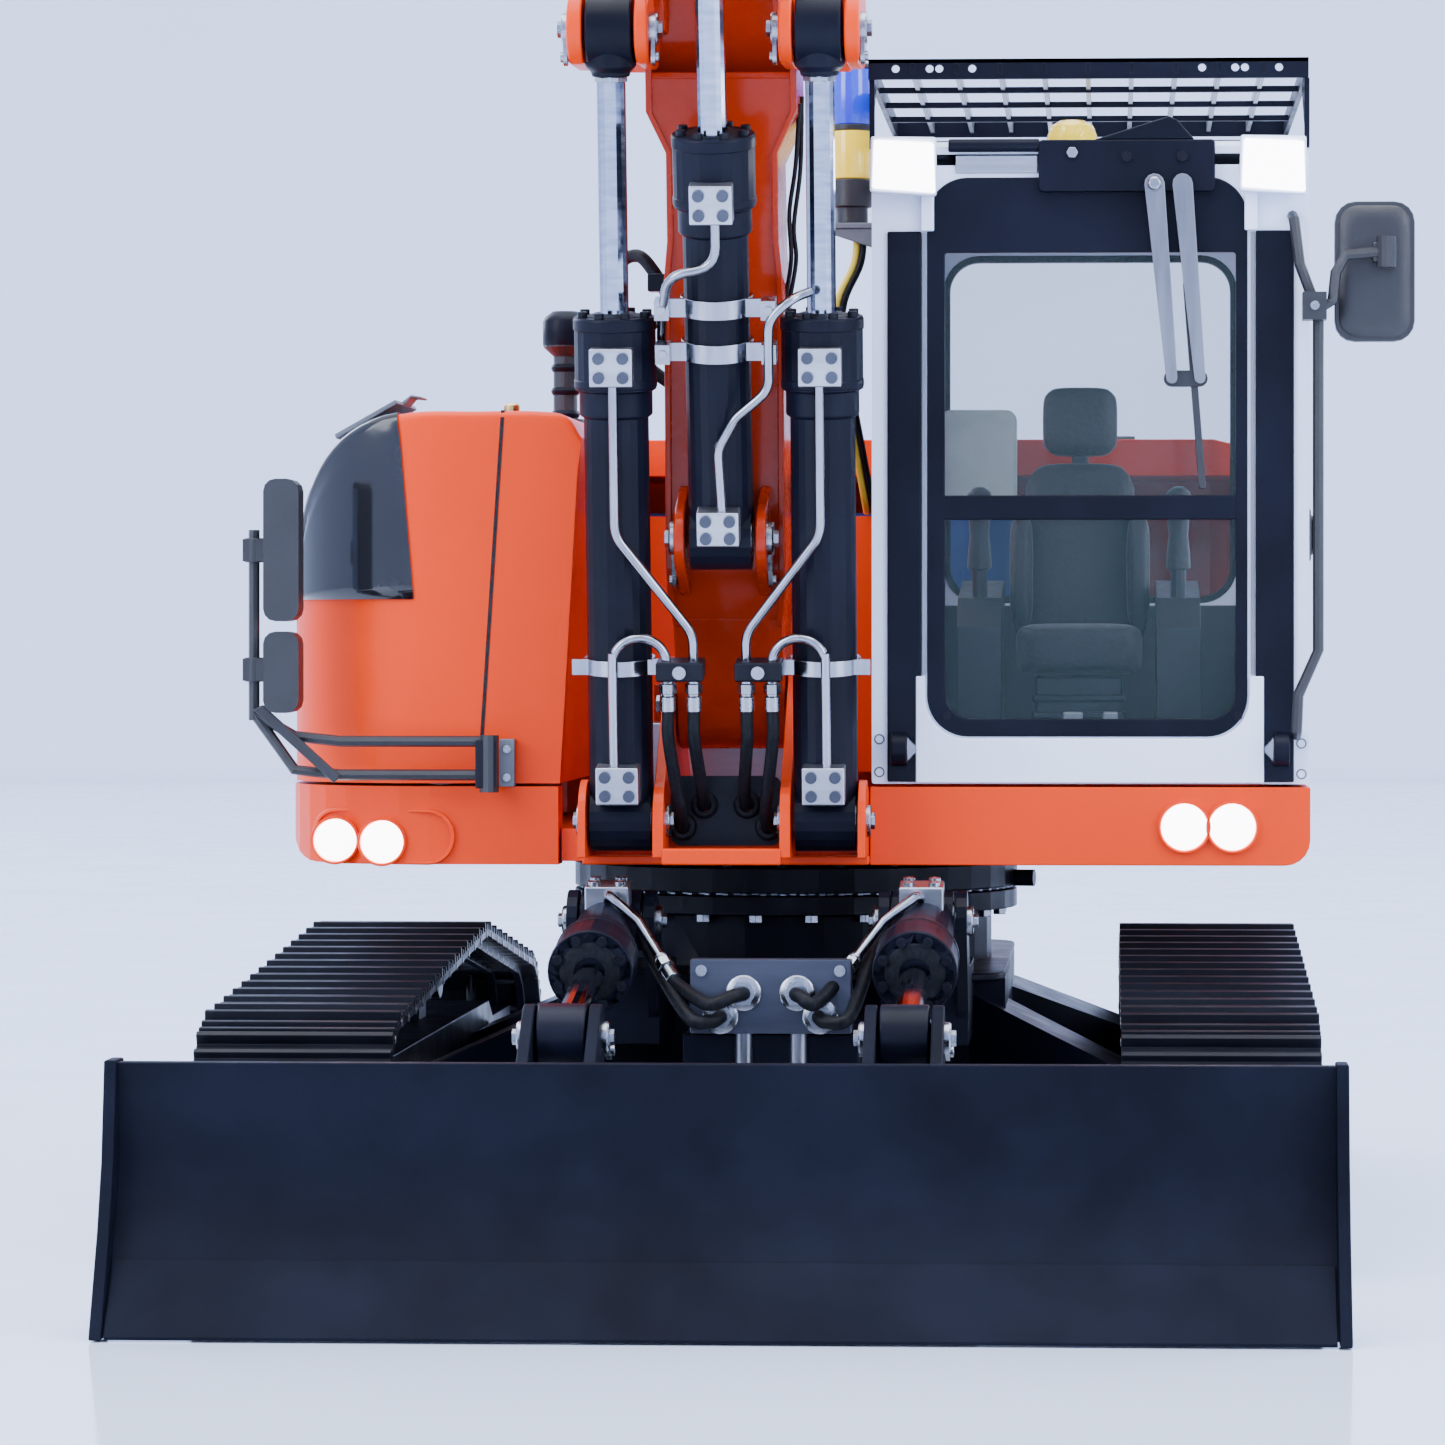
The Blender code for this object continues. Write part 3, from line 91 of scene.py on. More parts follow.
class Surface:
    """A Principled material whose colour, roughness and bump come from nodes in the object's own space."""

    def __init__(self, name, **sockets):
        self.material = bpy.data.materials.new(name)
        self.material.use_nodes = True
        self.nodes = self.material.node_tree.nodes
        self.links = self.material.node_tree.links
        self.shader = self.nodes["Principled BSDF"]
        for socket, value in sockets.items():
            self.shader.inputs[socket.replace("_", " ")].default_value = value
        self.place = self.add("ShaderNodeTexCoord").outputs["Object"]
        self.height = None

    def add(self, kind, **settings):
        node = self.nodes.new(kind)
        for key, value in settings.items():
            setattr(node, key, value)
        return node

    def stretched(self, scale):
        """The object's own coordinates, scaled along each axis."""
        mapping = self.add("ShaderNodeMapping")
        mapping.inputs["Scale"].default_value = scale
        self.links.new(self.place, mapping.inputs["Vector"])
        return mapping.outputs["Vector"]

    def noise(self, scale, detail=3.0, stretch=(1.0, 1.0, 1.0), roughness=0.55):
        node = self.add("ShaderNodeTexNoise")
        node.inputs["Scale"].default_value = scale
        node.inputs["Detail"].default_value = detail
        node.inputs["Roughness"].default_value = roughness
        self.links.new(self.stretched(stretch), node.inputs["Vector"])
        return node.outputs["Fac"]

    def cells(self, scale, stretch=(1.0, 1.0, 1.0)):
        node = self.add("ShaderNodeTexVoronoi")
        node.inputs["Scale"].default_value = scale
        self.links.new(self.stretched(stretch), node.inputs["Vector"])
        return node.outputs["Distance"]

    def spread(self, source, low, high, start=0.3, end=0.7):
        """Maps a texture's start..end onto low..high."""
        node = self.add("ShaderNodeMapRange")
        for socket, value in (("From Min", start), ("From Max", end), ("To Min", low), ("To Max", high)):
            node.inputs[socket].default_value = value
        self.links.new(source, node.inputs["Value"])
        return node.outputs["Result"]

    def colour(self, source, first, second, start=0.35, end=0.65):
        """Mixes two colours by a texture and feeds the base colour."""
        ramp = self.add("ShaderNodeValToRGB")
        ramp.color_ramp.elements[0].position = start
        ramp.color_ramp.elements[0].color = (*first, 1.0)
        ramp.color_ramp.elements[1].position = end
        ramp.color_ramp.elements[1].color = (*second, 1.0)
        self.links.new(source, ramp.inputs["Fac"])
        self.links.new(ramp.outputs["Color"], self.shader.inputs["Base Color"])

    def rough(self, source, low, high):
        self.links.new(self.spread(source, low, high), self.shader.inputs["Roughness"])

    def bump(self, source, depth, strength=1.0):
        """Raises the surface by a texture; depth is in millimetres. Several bumps add up."""
        node = self.add("ShaderNodeBump")
        node.inputs["Strength"].default_value = strength
        node.inputs["Distance"].default_value = depth * MM
        self.links.new(source, node.inputs["Height"])
        if self.height is not None:
            self.links.new(self.height, node.inputs["Normal"])
        self.height = node.outputs["Normal"]
        self.links.new(self.height, self.shader.inputs["Normal"])


def shade(colour, factor):
    return tuple(min(1.0, channel * factor) for channel in colour)


def gloss_paint(name, colour, roughness, coat):
    """Sprayed enamel: a little orange peel, a slow drift of colour and a clear coat."""
    made = Surface(name, Coat_Weight=coat, Coat_Roughness=0.08, IOR=1.5, Specular_IOR_Level=0.12)
    made.colour(made.noise(14.0, 2.0), shade(colour, 0.93), shade(colour, 1.05))
    made.rough(made.noise(240.0, 4.0), roughness - 0.04, roughness + 0.05)
    made.bump(made.noise(900.0, 2.0), 0.010)
    made.bump(made.noise(60.0, 1.0), 0.020)
    return made.material


def satin_black(name, colour, low, high, grain, shine=0.25):
    """Powder coat: fine grain, and patches that are a little more worn."""
    made = Surface(name, IOR=1.45, Specular_IOR_Level=shine)
    made.colour(made.noise(34.0, 5.0), shade(colour, 0.75), shade(colour, 1.45))
    made.rough(made.noise(120.0, 5.0), low, high)
    made.bump(made.noise(2600.0, 2.0), grain)
    made.bump(made.noise(160.0, 3.0), grain)
    return made.material


def brushed(name, colour, roughness, stretch, metallic=1.0):
    """Machined metal with fine lines along one direction."""
    made = Surface(name, Metallic=metallic)
    lines = made.noise(420.0, 4.0, stretch)
    made.colour(lines, shade(colour, 0.84), shade(colour, 1.08))
    made.rough(lines, roughness - 0.06, roughness + 0.08)
    made.bump(lines, 0.006)
    return made.material


def chrome(name):
    """Hard-chromed rod: nearly a mirror, with faint polishing rings."""
    made = Surface(name, Metallic=1.0)
    rings = made.noise(900.0, 2.0, (0.2, 0.2, 1.0))
    made.colour(rings, (0.24, 0.27, 0.36), (0.34, 0.37, 0.46))
    made.rough(rings, 0.07, 0.15)
    made.bump(rings, 0.002)
    return made.material


def rubber(name, colour=(0.0035, 0.0038, 0.0055)):
    """Hose rubber with a faint cloth impression."""
    made = Surface(name, IOR=1.45, Specular_IOR_Level=0.16)
    weave = made.cells(1500.0, (1.0, 1.0, 0.6))
    made.colour(weave, shade(colour, 0.8), shade(colour, 1.8))
    made.rough(made.noise(300.0), 0.42, 0.62)
    made.bump(weave, 0.03)
    return made.material


def plastic(name, colour, low, high, grain=0.02):
    """Moulded plastic with a fine spark-eroded grain."""
    made = Surface(name, IOR=1.46)
    made.colour(made.noise(70.0, 3.0), shade(colour, 0.86), shade(colour, 1.14))
    made.rough(made.noise(500.0, 3.0), low, high)
    made.bump(made.cells(2400.0), grain)
    return made.material


def tinted_glass(name, colour, alpha):
    """A clear pane; its share of alpha is what is seen of the tint and the reflections."""
    made = Surface(name, Alpha=alpha, IOR=1.52, Specular_IOR_Level=0.9)
    made.colour(made.noise(9.0, 1.0), shade(colour, 0.96), shade(colour, 1.03))
    made.rough(made.noise(30.0), 0.015, 0.04)
    return made.material


def lit_lens(name, colour, strength):
    """A lamp's lens with its cells glowing."""
    made = Surface(name, Emission_Strength=strength, Roughness=0.2)
    made.shader.inputs["Emission Color"].default_value = (*colour, 1.0)
    made.colour(made.cells(420.0), shade(colour, 0.9), colour)
    made.bump(made.cells(420.0), 0.05)
    return made.material


def beacon_lens(name, colour):
    """A coloured, ribbed plastic dome over its lamp."""
    made = Surface(name, IOR=1.49, Coat_Weight=0.5, Coat_Roughness=0.05, Emission_Strength=0.25)
    made.shader.inputs["Emission Color"].default_value = (*colour, 1.0)
    made.colour(made.noise(60.0), shade(colour, 0.8), shade(colour, 1.2))
    made.rough(made.noise(200.0), 0.10, 0.2)
    made.bump(made.noise(700.0, 1.0, (0.15, 0.15, 1.0)), 0.05)
    return made.material


def leather(name, colour):
    """Seat covering with a pebbled grain."""
    made = Surface(name, Sheen_Weight=0.15, IOR=1.45)
    made.colour(made.noise(60.0, 4.0), shade(colour, 0.75), shade(colour, 1.35))
    made.rough(made.noise(240.0), 0.48, 0.66)
    made.bump(made.cells(900.0), 0.10)
    made.bump(made.noise(3000.0), 0.02)
    return made.material


def floor_finish(name):
    """The studio's pale polished table."""
    made = Surface(name, IOR=1.45)
    made.colour(made.noise(3.0, 2.0), (0.70, 0.77, 0.95), (0.73, 0.80, 0.98))
    made.rough(made.noise(16.0, 3.0), 0.06, 0.12)
    return made.material


MATERIALS = {
    "orange": gloss_paint("orange_enamel", (0.74, 0.040, 0.0), 0.36, 0.08),
    "boom": gloss_paint("boom_enamel", (0.36, 0.018, 0.0), 0.26, 0.2),
    "white": gloss_paint("cab_enamel", (0.74, 0.80, 0.96), 0.34, 0.3),
    "black": satin_black("black_coat", (0.0040, 0.0046, 0.0100), 0.30, 0.44, 0.012, 0.11),
    "blade": satin_black("blade_coat", (0.0042, 0.0050, 0.0100), 0.46, 0.58, 0.014, 0.05),
    "steel": satin_black("black_steel", (0.0045, 0.0048, 0.0085), 0.30, 0.46, 0.02, 0.16),
    "edge": brushed("worn_steel", (0.22, 0.225, 0.25), 0.34, (1.0, 1.0, 0.1)),
    "dark_metal": brushed("phosphated_steel", (0.055, 0.060, 0.085), 0.34, (0.1, 1.0, 1.0), 0.6),
    "chrome": chrome("rod_chrome"),
    "alu": brushed("machined_aluminium", (0.42, 0.43, 0.47), 0.34, (0.08, 1.0, 1.0)),
    "tube": brushed("steel_pipe", (0.27, 0.28, 0.32), 0.18, (1.0, 1.0, 0.1)),
    "bolt": brushed("screw_steel", (0.30, 0.31, 0.34), 0.26, (1.0, 1.0, 1.0)),
    "brass": brushed("brass_lock", (0.62, 0.42, 0.16), 0.30, (1.0, 0.1, 1.0)),
    "rubber": rubber("hose_rubber"),
    "gasket": rubber("window_gasket", (0.010, 0.011, 0.013)),
    "plastic": plastic("black_plastic", (0.014, 0.014, 0.017), 0.38, 0.52),
    "gloss_plastic": plastic("gloss_black_panel", (0.010, 0.010, 0.013), 0.07, 0.13, 0.003),
    "grey_plastic": plastic("grey_trim", (0.12, 0.13, 0.15), 0.40, 0.55),
    "pale_plastic": plastic("pale_trim", (0.34, 0.40, 0.40), 0.40, 0.55),
    "glass": tinted_glass("tinted_glass", (0.025, 0.060, 0.060), 0.12),
    "mirror": chrome("mirror_glass"),
    "lamp": lit_lens("lamp_lens", (1.0, 0.98, 1.0), 9.0),
    "amber": beacon_lens("amber_dome", (0.95, 0.60, 0.02)),
    "blue": beacon_lens("blue_dome", (0.01, 0.03, 0.55)),
    "seat": leather("seat_leather", (0.018, 0.018, 0.020)),
    "wrap": plastic("battery_wrap", (0.03, 0.07, 0.28), 0.25, 0.4),
    "wire_yellow": plastic("yellow_wire", (0.70, 0.52, 0.05), 0.35, 0.5),
    "wire_red": plastic("red_wire", (0.45, 0.03, 0.02), 0.35, 0.5),
    "tank": brushed("tank_steel", (0.45, 0.46, 0.48), 0.32, (1.0, 0.1, 1.0)),
}


# ---------------------------------------------------------------- outlines and lines


def arc(centre, radius, start, end, steps):
    """Points of an arc, counted in degrees from the first axis towards the second."""
    angles = [math.radians(start + (end - start) * index / steps) for index in range(steps + 1)]
    return [(centre[0] + radius * math.cos(a), centre[1] + radius * math.sin(a)) for a in angles]


def rounded(low, high, radius, steps=6):
    """A rectangle's outline with its corners rounded; radius is one number or one for each corner.

    The corners are in the order high-high, low-high, low-low, high-low.
    """
    radii = radius if isinstance(radius, tuple) else (radius,) * 4
    outline = []
    corners = ((high[0], high[1], -1, -1, 0), (low[0], high[1], 1, -1, 90))
    corners += ((low[0], low[1], 1, 1, 180), (high[0], low[1], -1, 1, 270))
    for (a, b, to_a, to_b, start), r in zip(corners, radii):
        outline += arc((a + to_a * r, b + to_b * r), max(r, 0.01), start, start + 90, steps)
    return outline


def circle(centre, radius, steps=20):
    return arc(centre, radius, 0, 360, steps)[:-1]


def smooth_line(points, steps=8):
    """A Catmull-Rom line through points of any dimension."""
    vectors = [Vector(point) for point in points]
    padded = [2 * vectors[0] - vectors[1]] + vectors + [2 * vectors[-1] - vectors[-2]]
    line = []
    for a, b, c, d in zip(padded, padded[1:], padded[2:], padded[3:]):
        for index in range(steps):
            t = index / steps
            curved = (2 * a - 5 * b + 4 * c - d) * t * t + (3 * b - a - 3 * c + d) * t ** 3
            line.append(0.5 * (2 * b + (c - a) * t + curved))
    return line + [vectors[-1]]


def bent_line(points, radius, steps=6):
    """Straight runs joined by bends of one radius, as a pipe bender leaves them."""
    vectors = [Vector(point) for point in points]
    line = [vectors[0]]
    for before, corner, after in zip(vectors, vectors[1:], vectors[2:]):
        back, ahead = (before - corner).normalized(), (after - corner).normalized()
        half = back.angle(ahead) / 2
        if half > math.radians(88):
            continue
        reach = min(radius / math.tan(half), 0.48 * (before - corner).length, 0.48 * (after - corner).length)
        start, end = corner + back * reach, corner + ahead * reach
        for index in range(steps + 1):
            t = index / steps
            line.append(start * (1 - t) ** 2 + corner * 2 * t * (1 - t) + end * t ** 2)
    return line + [vectors[-1]]


def belt(circles, steps):
    """The outline of a belt round the outside of circles (a, b, radius), counted anticlockwise."""
    leaving = []
    for index, (a, b, radius) in enumerate(circles):
        next_a, next_b, next_radius = circles[(index + 1) % len(circles)]
        distance = math.hypot(next_a - a, next_b - b)
        leaving.append(math.atan2(next_b - b, next_a - a) - math.acos((radius - next_radius) / distance))
    outline = []
    for index, (a, b, radius) in enumerate(circles):
        start, end = leaving[index - 1], leaving[index]
        while end < start:
            end += math.tau
        outline += arc((a, b), radius, math.degrees(start), math.degrees(end), steps)
    return outline


def strap(first, first_radius, second, second_radius, steps=10):
    """A flat link's outline round two pins."""
    return belt([(*first, first_radius), (*second, second_radius)], steps)


def walk(outline, spacing):
    """Points at even spacing along a closed (a, b) outline, each with its direction of travel."""
    sides = list(zip(outline, outline[1:] + outline[:1]))
    around = sum((Vector(a) - Vector(b)).length for a, b in sides)
    count = round(around / spacing)
    length = around / count
    stops, travelled, target = [], 0.0, 0.0
    for start, end in sides:
        run = Vector(end) - Vector(start)
        while run.length > 0 and target <= travelled + run.length and len(stops) < count:
            stops.append((Vector(start) + run * (target - travelled) / run.length, run.normalized()))
            target += length
        travelled += run.length
    return stops


def turned_rings(profile, origin, direction, sides):
    """A ring of points about a line for each (distance along, radius) of a profile."""
    turn = Z_AXIS.rotation_difference(Vector(direction).normalized())
    rings = []
    for along, radius in profile:
        ring = []
        for index in range(sides):
            angle = math.tau * index / sides
            local = Vector((radius * math.cos(angle), radius * math.sin(angle), along))
            ring.append(turn @ local + Vector(origin))
        rings.append(ring)
    return rings


def side_point(x, point):
    """The place of a (y, z) point of the side view at one x."""
    return Vector((x, point[0], point[1]))


# ---------------------------------------------------------------- pieces


class Piece:
    """Shapes in millimetres gathered into one visible piece of one material that rides on one body."""

    def __init__(self, name, body, material, bevel=0.25, segments=2):
        self.name, self.body, self.material = name, body, material
        self.bevel, self.segments = bevel, segments
        self.mesh = bmesh.new()

    def rings(self, rings, closed=False, caps=True):
        """Joins rings of equal length; a closed strip has no ends, and caps closes the two ends."""
        loops = [[self.mesh.verts.new(point) for point in ring] for ring in rings]
        pairs = list(zip(loops, loops[1:])) + ([(loops[-1], loops[0])] if closed else [])
        faces = []
        for first, second in pairs:
            for index in range(len(first)):
                after = (index + 1) % len(first)
                faces.append(self.mesh.faces.new((first[index], first[after], second[after], second[index])))
        if caps and not closed:
            faces.append(self.mesh.faces.new(loops[0]))
            faces.append(self.mesh.faces.new(list(reversed(loops[-1]))))
        bmesh.ops.recalc_face_normals(self.mesh, faces=faces)
        return self

    def prism(self, outline, axis, low, high):
        """An outline of (first, second) points pushed along X, Y or Z."""
        return self.rings([[lay(axis, a, b, depth) for a, b in outline] for depth in (low, high)])

    def band(self, outer, inner, axis, low, high):
        """The strip between two outlines of equal length, pushed along an axis."""
        return self.rings(
            [
                [lay(axis, *o, low), lay(axis, *o, high), lay(axis, *i, high), lay(axis, *i, low)]
                for o, i in zip(outer, inner)
            ],
            closed=True,
        )

    def both_sides(self, outline, middle, inner, outer):
        """A side view's outline pushed along X on each side of a middle, from inner to outer."""
        for side in (LEFT, RIGHT):
            self.prism(outline, "X", *sorted((middle + side * inner, middle + side * outer)))
        return self

    def block(self, low, high):
        outline = ((low[0], low[1]), (high[0], low[1]), (high[0], high[1]), (low[0], high[1]))
        return self.prism(outline, "Z", low[2], high[2])

    def plate(self, outline, holes, axis, low, high):
        """A flat plate with holes through it."""
        curve = bpy.data.curves.new("outline", "CURVE")
        curve.dimensions = "2D"
        curve.fill_mode = "BOTH"
        curve.extrude = abs(high - low) / 2
        for loop in (outline, *holes):
            spline = curve.splines.new("POLY")
            spline.points.add(len(loop) - 1)
            spline.use_cyclic_u = True
            for point, (a, b) in zip(spline.points, loop):
                point.co = (a, b, 0.0, 1.0)
        holder = bpy.data.objects.new("outline", curve)
        flat = bpy.data.meshes.new_from_object(holder)
        welded = bmesh.new()
        welded.from_mesh(flat)
        bmesh.ops.remove_doubles(welded, verts=welded.verts, dist=0.001)
        for vertex in welded.verts:
            vertex.co = lay(axis, vertex.co.x, vertex.co.y, (low + high) / 2 + vertex.co.z)
        bmesh.ops.recalc_face_normals(welded, faces=welded.faces)
        welded.to_mesh(flat)
        welded.free()
        self.mesh.from_mesh(flat)
        bpy.data.objects.remove(holder)
        bpy.data.curves.remove(curve)
        bpy.data.meshes.remove(flat)
        return self

    def turned(self, profile, origin, direction, sides=32):
        """A (distance along, radius) profile turned about a line; closed at the ends it reaches."""
        return self.rings(turned_rings(profile, origin, direction, sides))

    def tube(self, profile, origin, direction, sides=32):
        """A hollow turned shape; the profile is a closed loop."""
        return self.rings(turned_rings(profile, origin, direction, sides), closed=True)

    def rod(self, start, end, radius, sides=24):
        run = Vector(end) - Vector(start)
        return self.turned([(0.0, radius), (run.length, radius)], start, run, sides)

    def pipe(self, points, radius, sides=12):
        """A round bar along a line; its section turns as little as it can from point to point."""
        places = [Vector(point) for point in points]
        heading = (places[1] - places[0]).normalized()
        across = heading.orthogonal().normalized()
        rings = []
        for index, point in enumerate(places):
            new_heading = (places[min(index + 1, len(places) - 1)] - places[max(index - 1, 0)]).normalized()
            across = heading.rotation_difference(new_heading) @ across
            heading = new_heading
            upright = heading.cross(across)
            angles = [math.tau * step / sides for step in range(sides)]
            rings.append([point + radius * (math.cos(a) * across + math.sin(a) * upright) for a in angles])
        return self.rings(rings)

    def cap_screw(self, foot, direction, radius, height):
        """A socket cap screw standing on a surface: a round head with its hexagonal socket."""
        self.turned([(-0.1, radius), (height, radius)], foot, direction, 16)
        rim, socket = radius * 0.8, radius * 0.55
        top, bottom = height + 0.03, height - 0.04
        return self.tube([(top, rim), (top, socket), (bottom, socket), (bottom, rim)], foot, direction, 6)

    def hexagon(self, foot, direction, radius, height):
        """A hexagon head or nut standing on a surface."""
        return self.turned([(-0.1, radius), (height, radius)], foot, direction, 6)

    def screws(self, feet, direction, radius, height):
        for foot in feet:
            self.cap_screw(foot, direction, radius, height)
        return self

    def make(self, *replaced, moved=None, bends=None):
        """Puts the piece into the scene.

        moved is a change of place for all of it. bends is (other body, start, end) for a hose between two
        bodies;
        when it is given, the piece is baked into the frame's space and rides on no body, and what bends holds
        is not used.
        """
        if moved is not None:
            self.mesh.transform(moved)
        for vertex in self.mesh.verts:
            vertex.co = place(vertex.co)
        data = bpy.data.meshes.new(self.name)
        self.mesh.to_mesh(data)
        self.mesh.free()
        data.materials.append(MATERIALS[self.material])
        data.shade_smooth()
        data.set_sharp_from_angle(angle=math.radians(38.0))
        made = bpy.data.objects.new(self.name, data)
        bpy.context.scene.collection.objects.link(made)
        if self.bevel > 0.0:
            soften(made, self.bevel, self.segments)
        if bends is None:
            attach(made, self.body)
        else:
            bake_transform(made)
        if replaced:
            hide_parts(*replaced)
        return made


def lay(axis, first, second, depth):
    """The place of an outline's point, where the outline is pushed along the axis."""
    return {"X": (depth, first, second), "Y": (first, depth, second), "Z": (first, second, depth)}[axis]


def soften(made, width, segments=2):
    """Rounds an object's sharp edges."""
    bevel = made.modifiers.new("edges", "BEVEL")
    bevel.width = width * MM
    bevel.segments = segments
    bevel.limit_method = "ANGLE"
    bevel.angle_limit = math.radians(38.0)
    bevel.harden_normals = True
    bevel.use_clamp_overlap = True


def finish_node(node, material, width=0.4, segments=2):
    """Keeps a CAD node as it is, with its surface finished and its edges rounded."""
    made = frame["nodes"][node]
    made.data.materials.clear()
    made.data.materials.append(MATERIALS[material])
    if width > 0.0:
        weld = made.modifiers.new("weld", "WELD")
        weld.merge_threshold = 0.00002
        soften(made, width, segments)


# ---------------------------------------------------------------- studio


def aim_at(made, target):
    made.rotation_mode = "QUATERNION"
    made.rotation_quaternion = (Vector(target) - made.location).to_track_quat("-Z", "Y")


FLOOR_RADIUS, COVE_RADIUS, WALL_TOP = 3.6, 1.6, 4.5
CAMERA_PLACE = (67.3, -1142.0, 121.3)
CAMERA_LENS = 132.5
CAMERA_TURN = 2.61
CAMERA_SHIFT = (-0.10, -0.057)


def make_studio():
    """A seamless pale bowl that is floor and backdrop at once, soft boxes and the camera."""
    profile = [(2.0, 0.0), (FLOOR_RADIUS, 0.0)]
    profile += arc((FLOOR_RADIUS, COVE_RADIUS), COVE_RADIUS, -84, 0, 14)
    profile.append((FLOOR_RADIUS + COVE_RADIUS, WALL_TOP))
    sides = 96
    bowl = bmesh.new()
    rings = []
    for radius, height in profile:
        angles = [math.tau * index / sides for index in range(sides)]
        rings.append([bowl.verts.new((radius * math.cos(a), radius * math.sin(a), height)) for a in angles])
    bowl.faces.new(rings[0])
    for first, second in zip(rings, rings[1:]):
        for index in range(sides):
            after = (index + 1) % sides
            bowl.faces.new((first[index], first[after], second[after], second[index]))
    bmesh.ops.recalc_face_normals(bowl, faces=bowl.faces)
    bmesh.ops.reverse_faces(bowl, faces=bowl.faces)
    data = bpy.data.meshes.new("studio_floor")
    bowl.to_mesh(data)
    bowl.free()
    data.shade_smooth()
    data.materials.append(floor_finish("studio_table"))
    floor = bpy.data.objects.new("studio_floor", data)
    bpy.context.scene.collection.objects.link(floor)

    world = bpy.data.worlds.new("studio")
    bpy.context.scene.world = world
    world.use_nodes = True
    world.node_tree.nodes["Background"].inputs["Color"].default_value = (0.80, 0.87, 1.0, 1.0)
    world.node_tree.nodes["Background"].inputs["Strength"].default_value = 2.9
    boxes = (
        ("top_box", (0.0, -0.2, 2.3), (2.2, 2.2), 80.0),
        ("left_box", (-1.7, -1.5, 1.2), (1.1, 1.6), 52.0),
        ("right_box", (1.9, -1.3, 1.0), (1.0, 1.5), 40.0),
        ("rear_left_box", (-1.5, 1.7, 1.1), (0.9, 1.5), 30.0),
        ("rear_right_box", (1.6, 1.6, 1.1), (0.9, 1.5), 30.0),
    )
    for name, where, size, power in boxes:
        light = bpy.data.lights.new(name, "AREA")
        light.shape = "RECTANGLE"
        light.size, light.size_y = size
        light.energy = power
        light.color = (0.90, 0.94, 1.0)
        holder = bpy.data.objects.new(name, light)
        holder.location = where
        aim_at(holder, (0.0, 0.0, 0.18))
        holder.visible_camera = False
        bpy.context.scene.collection.objects.link(holder)

    camera = bpy.data.cameras.new("camera")
    camera.lens = CAMERA_LENS
    camera.sensor_width = 36.0
    camera.shift_x, camera.shift_y = CAMERA_SHIFT
    holder = bpy.data.objects.new("camera", camera)
    holder.location = place(CAMERA_PLACE)
    holder.rotation_euler = (math.radians(90.0), 0.0, math.radians(CAMERA_TURN))
    bpy.context.scene.collection.objects.link(holder)
    bpy.context.scene.camera = holder


# ---------------------------------------------------------------- CAD nodes that are kept

KEPT = {
    "black": (
        "car_body", "track_frame_left", "track_frame_right", "blade_barrel_left", "blade_barrel_right",
        "lift_barrel_left", "lift_barrel_right", "fold_barrel", "stick_barrel", "bucket_barrel", "rocker",
        "bucket_link",
    ),
    "steel": (
        "slew_ring_lower", "slew_ring_upper", "bucket", "idler_left", "idler_right", "sprocket_left",
        "sprocket_right",
    ),
    "chrome": (
        "blade_rod_left", "blade_rod_right", "lift_rod_left", "lift_rod_right", "fold_rod", "stick_rod",
        "bucket_rod",
    ),
    "orange": ("upper_frame", "hood_skirt", "cab_skirt", "counterweight", "rear_lid"),
    "boom": ("boom_upper", "stick"),
    "alu": ("hydraulic_pump", "valve_block"),
    "dark_metal": ("blade_manifold",),
    "edge": ("wiper_drive_arm", "wiper_guide_arm"),
    "plastic": ("mirror_bracket", "handrail", "door_mirror", "wiper_blade", "console", "exhaust_stack"),
    "tank": ("oil_tank",),
    "wrap": ("battery_pack",),
    "lamp": ("roof_lamp_left", "roof_lamp_right"),
}
EDGE_WIDTH = {
    "bucket": 0.3, "counterweight": 2.2, "rear_lid": 1.6, "hood_skirt": 0.8, "cab_skirt": 0.8,
    "boom_upper": 0.7, "stick": 0.6, "upper_frame": 0.4, "car_body": 0.6, "door_mirror": 1.3,
    "battery_pack": 1.0, "oil_tank": 0.8, "mirror_bracket": 0.3, "console": 1.0,
}


def finish_kept_nodes():
    for material, nodes in KEPT.items():
        for node in nodes:
            finish_node(node, material, EDGE_WIDTH.get(node, 0.3), 3)


# ---------------------------------------------------------------- hydraulics


def heading(base, rod_pin, turn):
    """The barrel's unit direction: from its base pin towards the rod's pin, turned a little, nose up."""
    angle = math.atan2(rod_pin.z - base.z, base.y - rod_pin.y) + math.radians(turn)
    return Vector((0.0, -math.cos(angle), math.sin(angle)))


BOOM_X = pin("boom_lift").x
LIFT_SPACING = 20.0
BLADE_CYLINDER_X = 30.7
CYLINDERS = {
    # name: (joint and body of the barrel, of the rod, aim in degrees, barrel length, rod eye radius)
    "lift": ("lift_barrel_turn", "lift_rod_turn", "lift_barrels", "lift_rods", 0.28, 99.0, 6.4),
    "fold": ("fold_barrel_turn", "fold_rod_turn", "fold_barrel", "fold_rod", 1.07, 80.0, 6.4),
    "stick": ("stick_barrel_turn", "stick_rod_turn", "stick_barrel", "stick_rod", -1.17, 86.0, 5.6),
    "bucket": ("bucket_barrel_turn", "bucket_rod_turn", "bucket_barrel", "bucket_rod", -1.07, 84.0, 5.2),
    "blade": ("blade_barrel_turn", "blade_rod_turn", "blade_barrels", "blade_rods", 0.44, 47.0, 5.8),
}
HOSE_HOLES = ((4.2, 88.9), (8.4, 84.6))
GLAND_RADIUS = 7.9
GLAND_SCREWS = 8
STRAP_THICKNESS = 0.7
BARREL_RADIUS = 6.3
ROD_RADIUS = 2.8


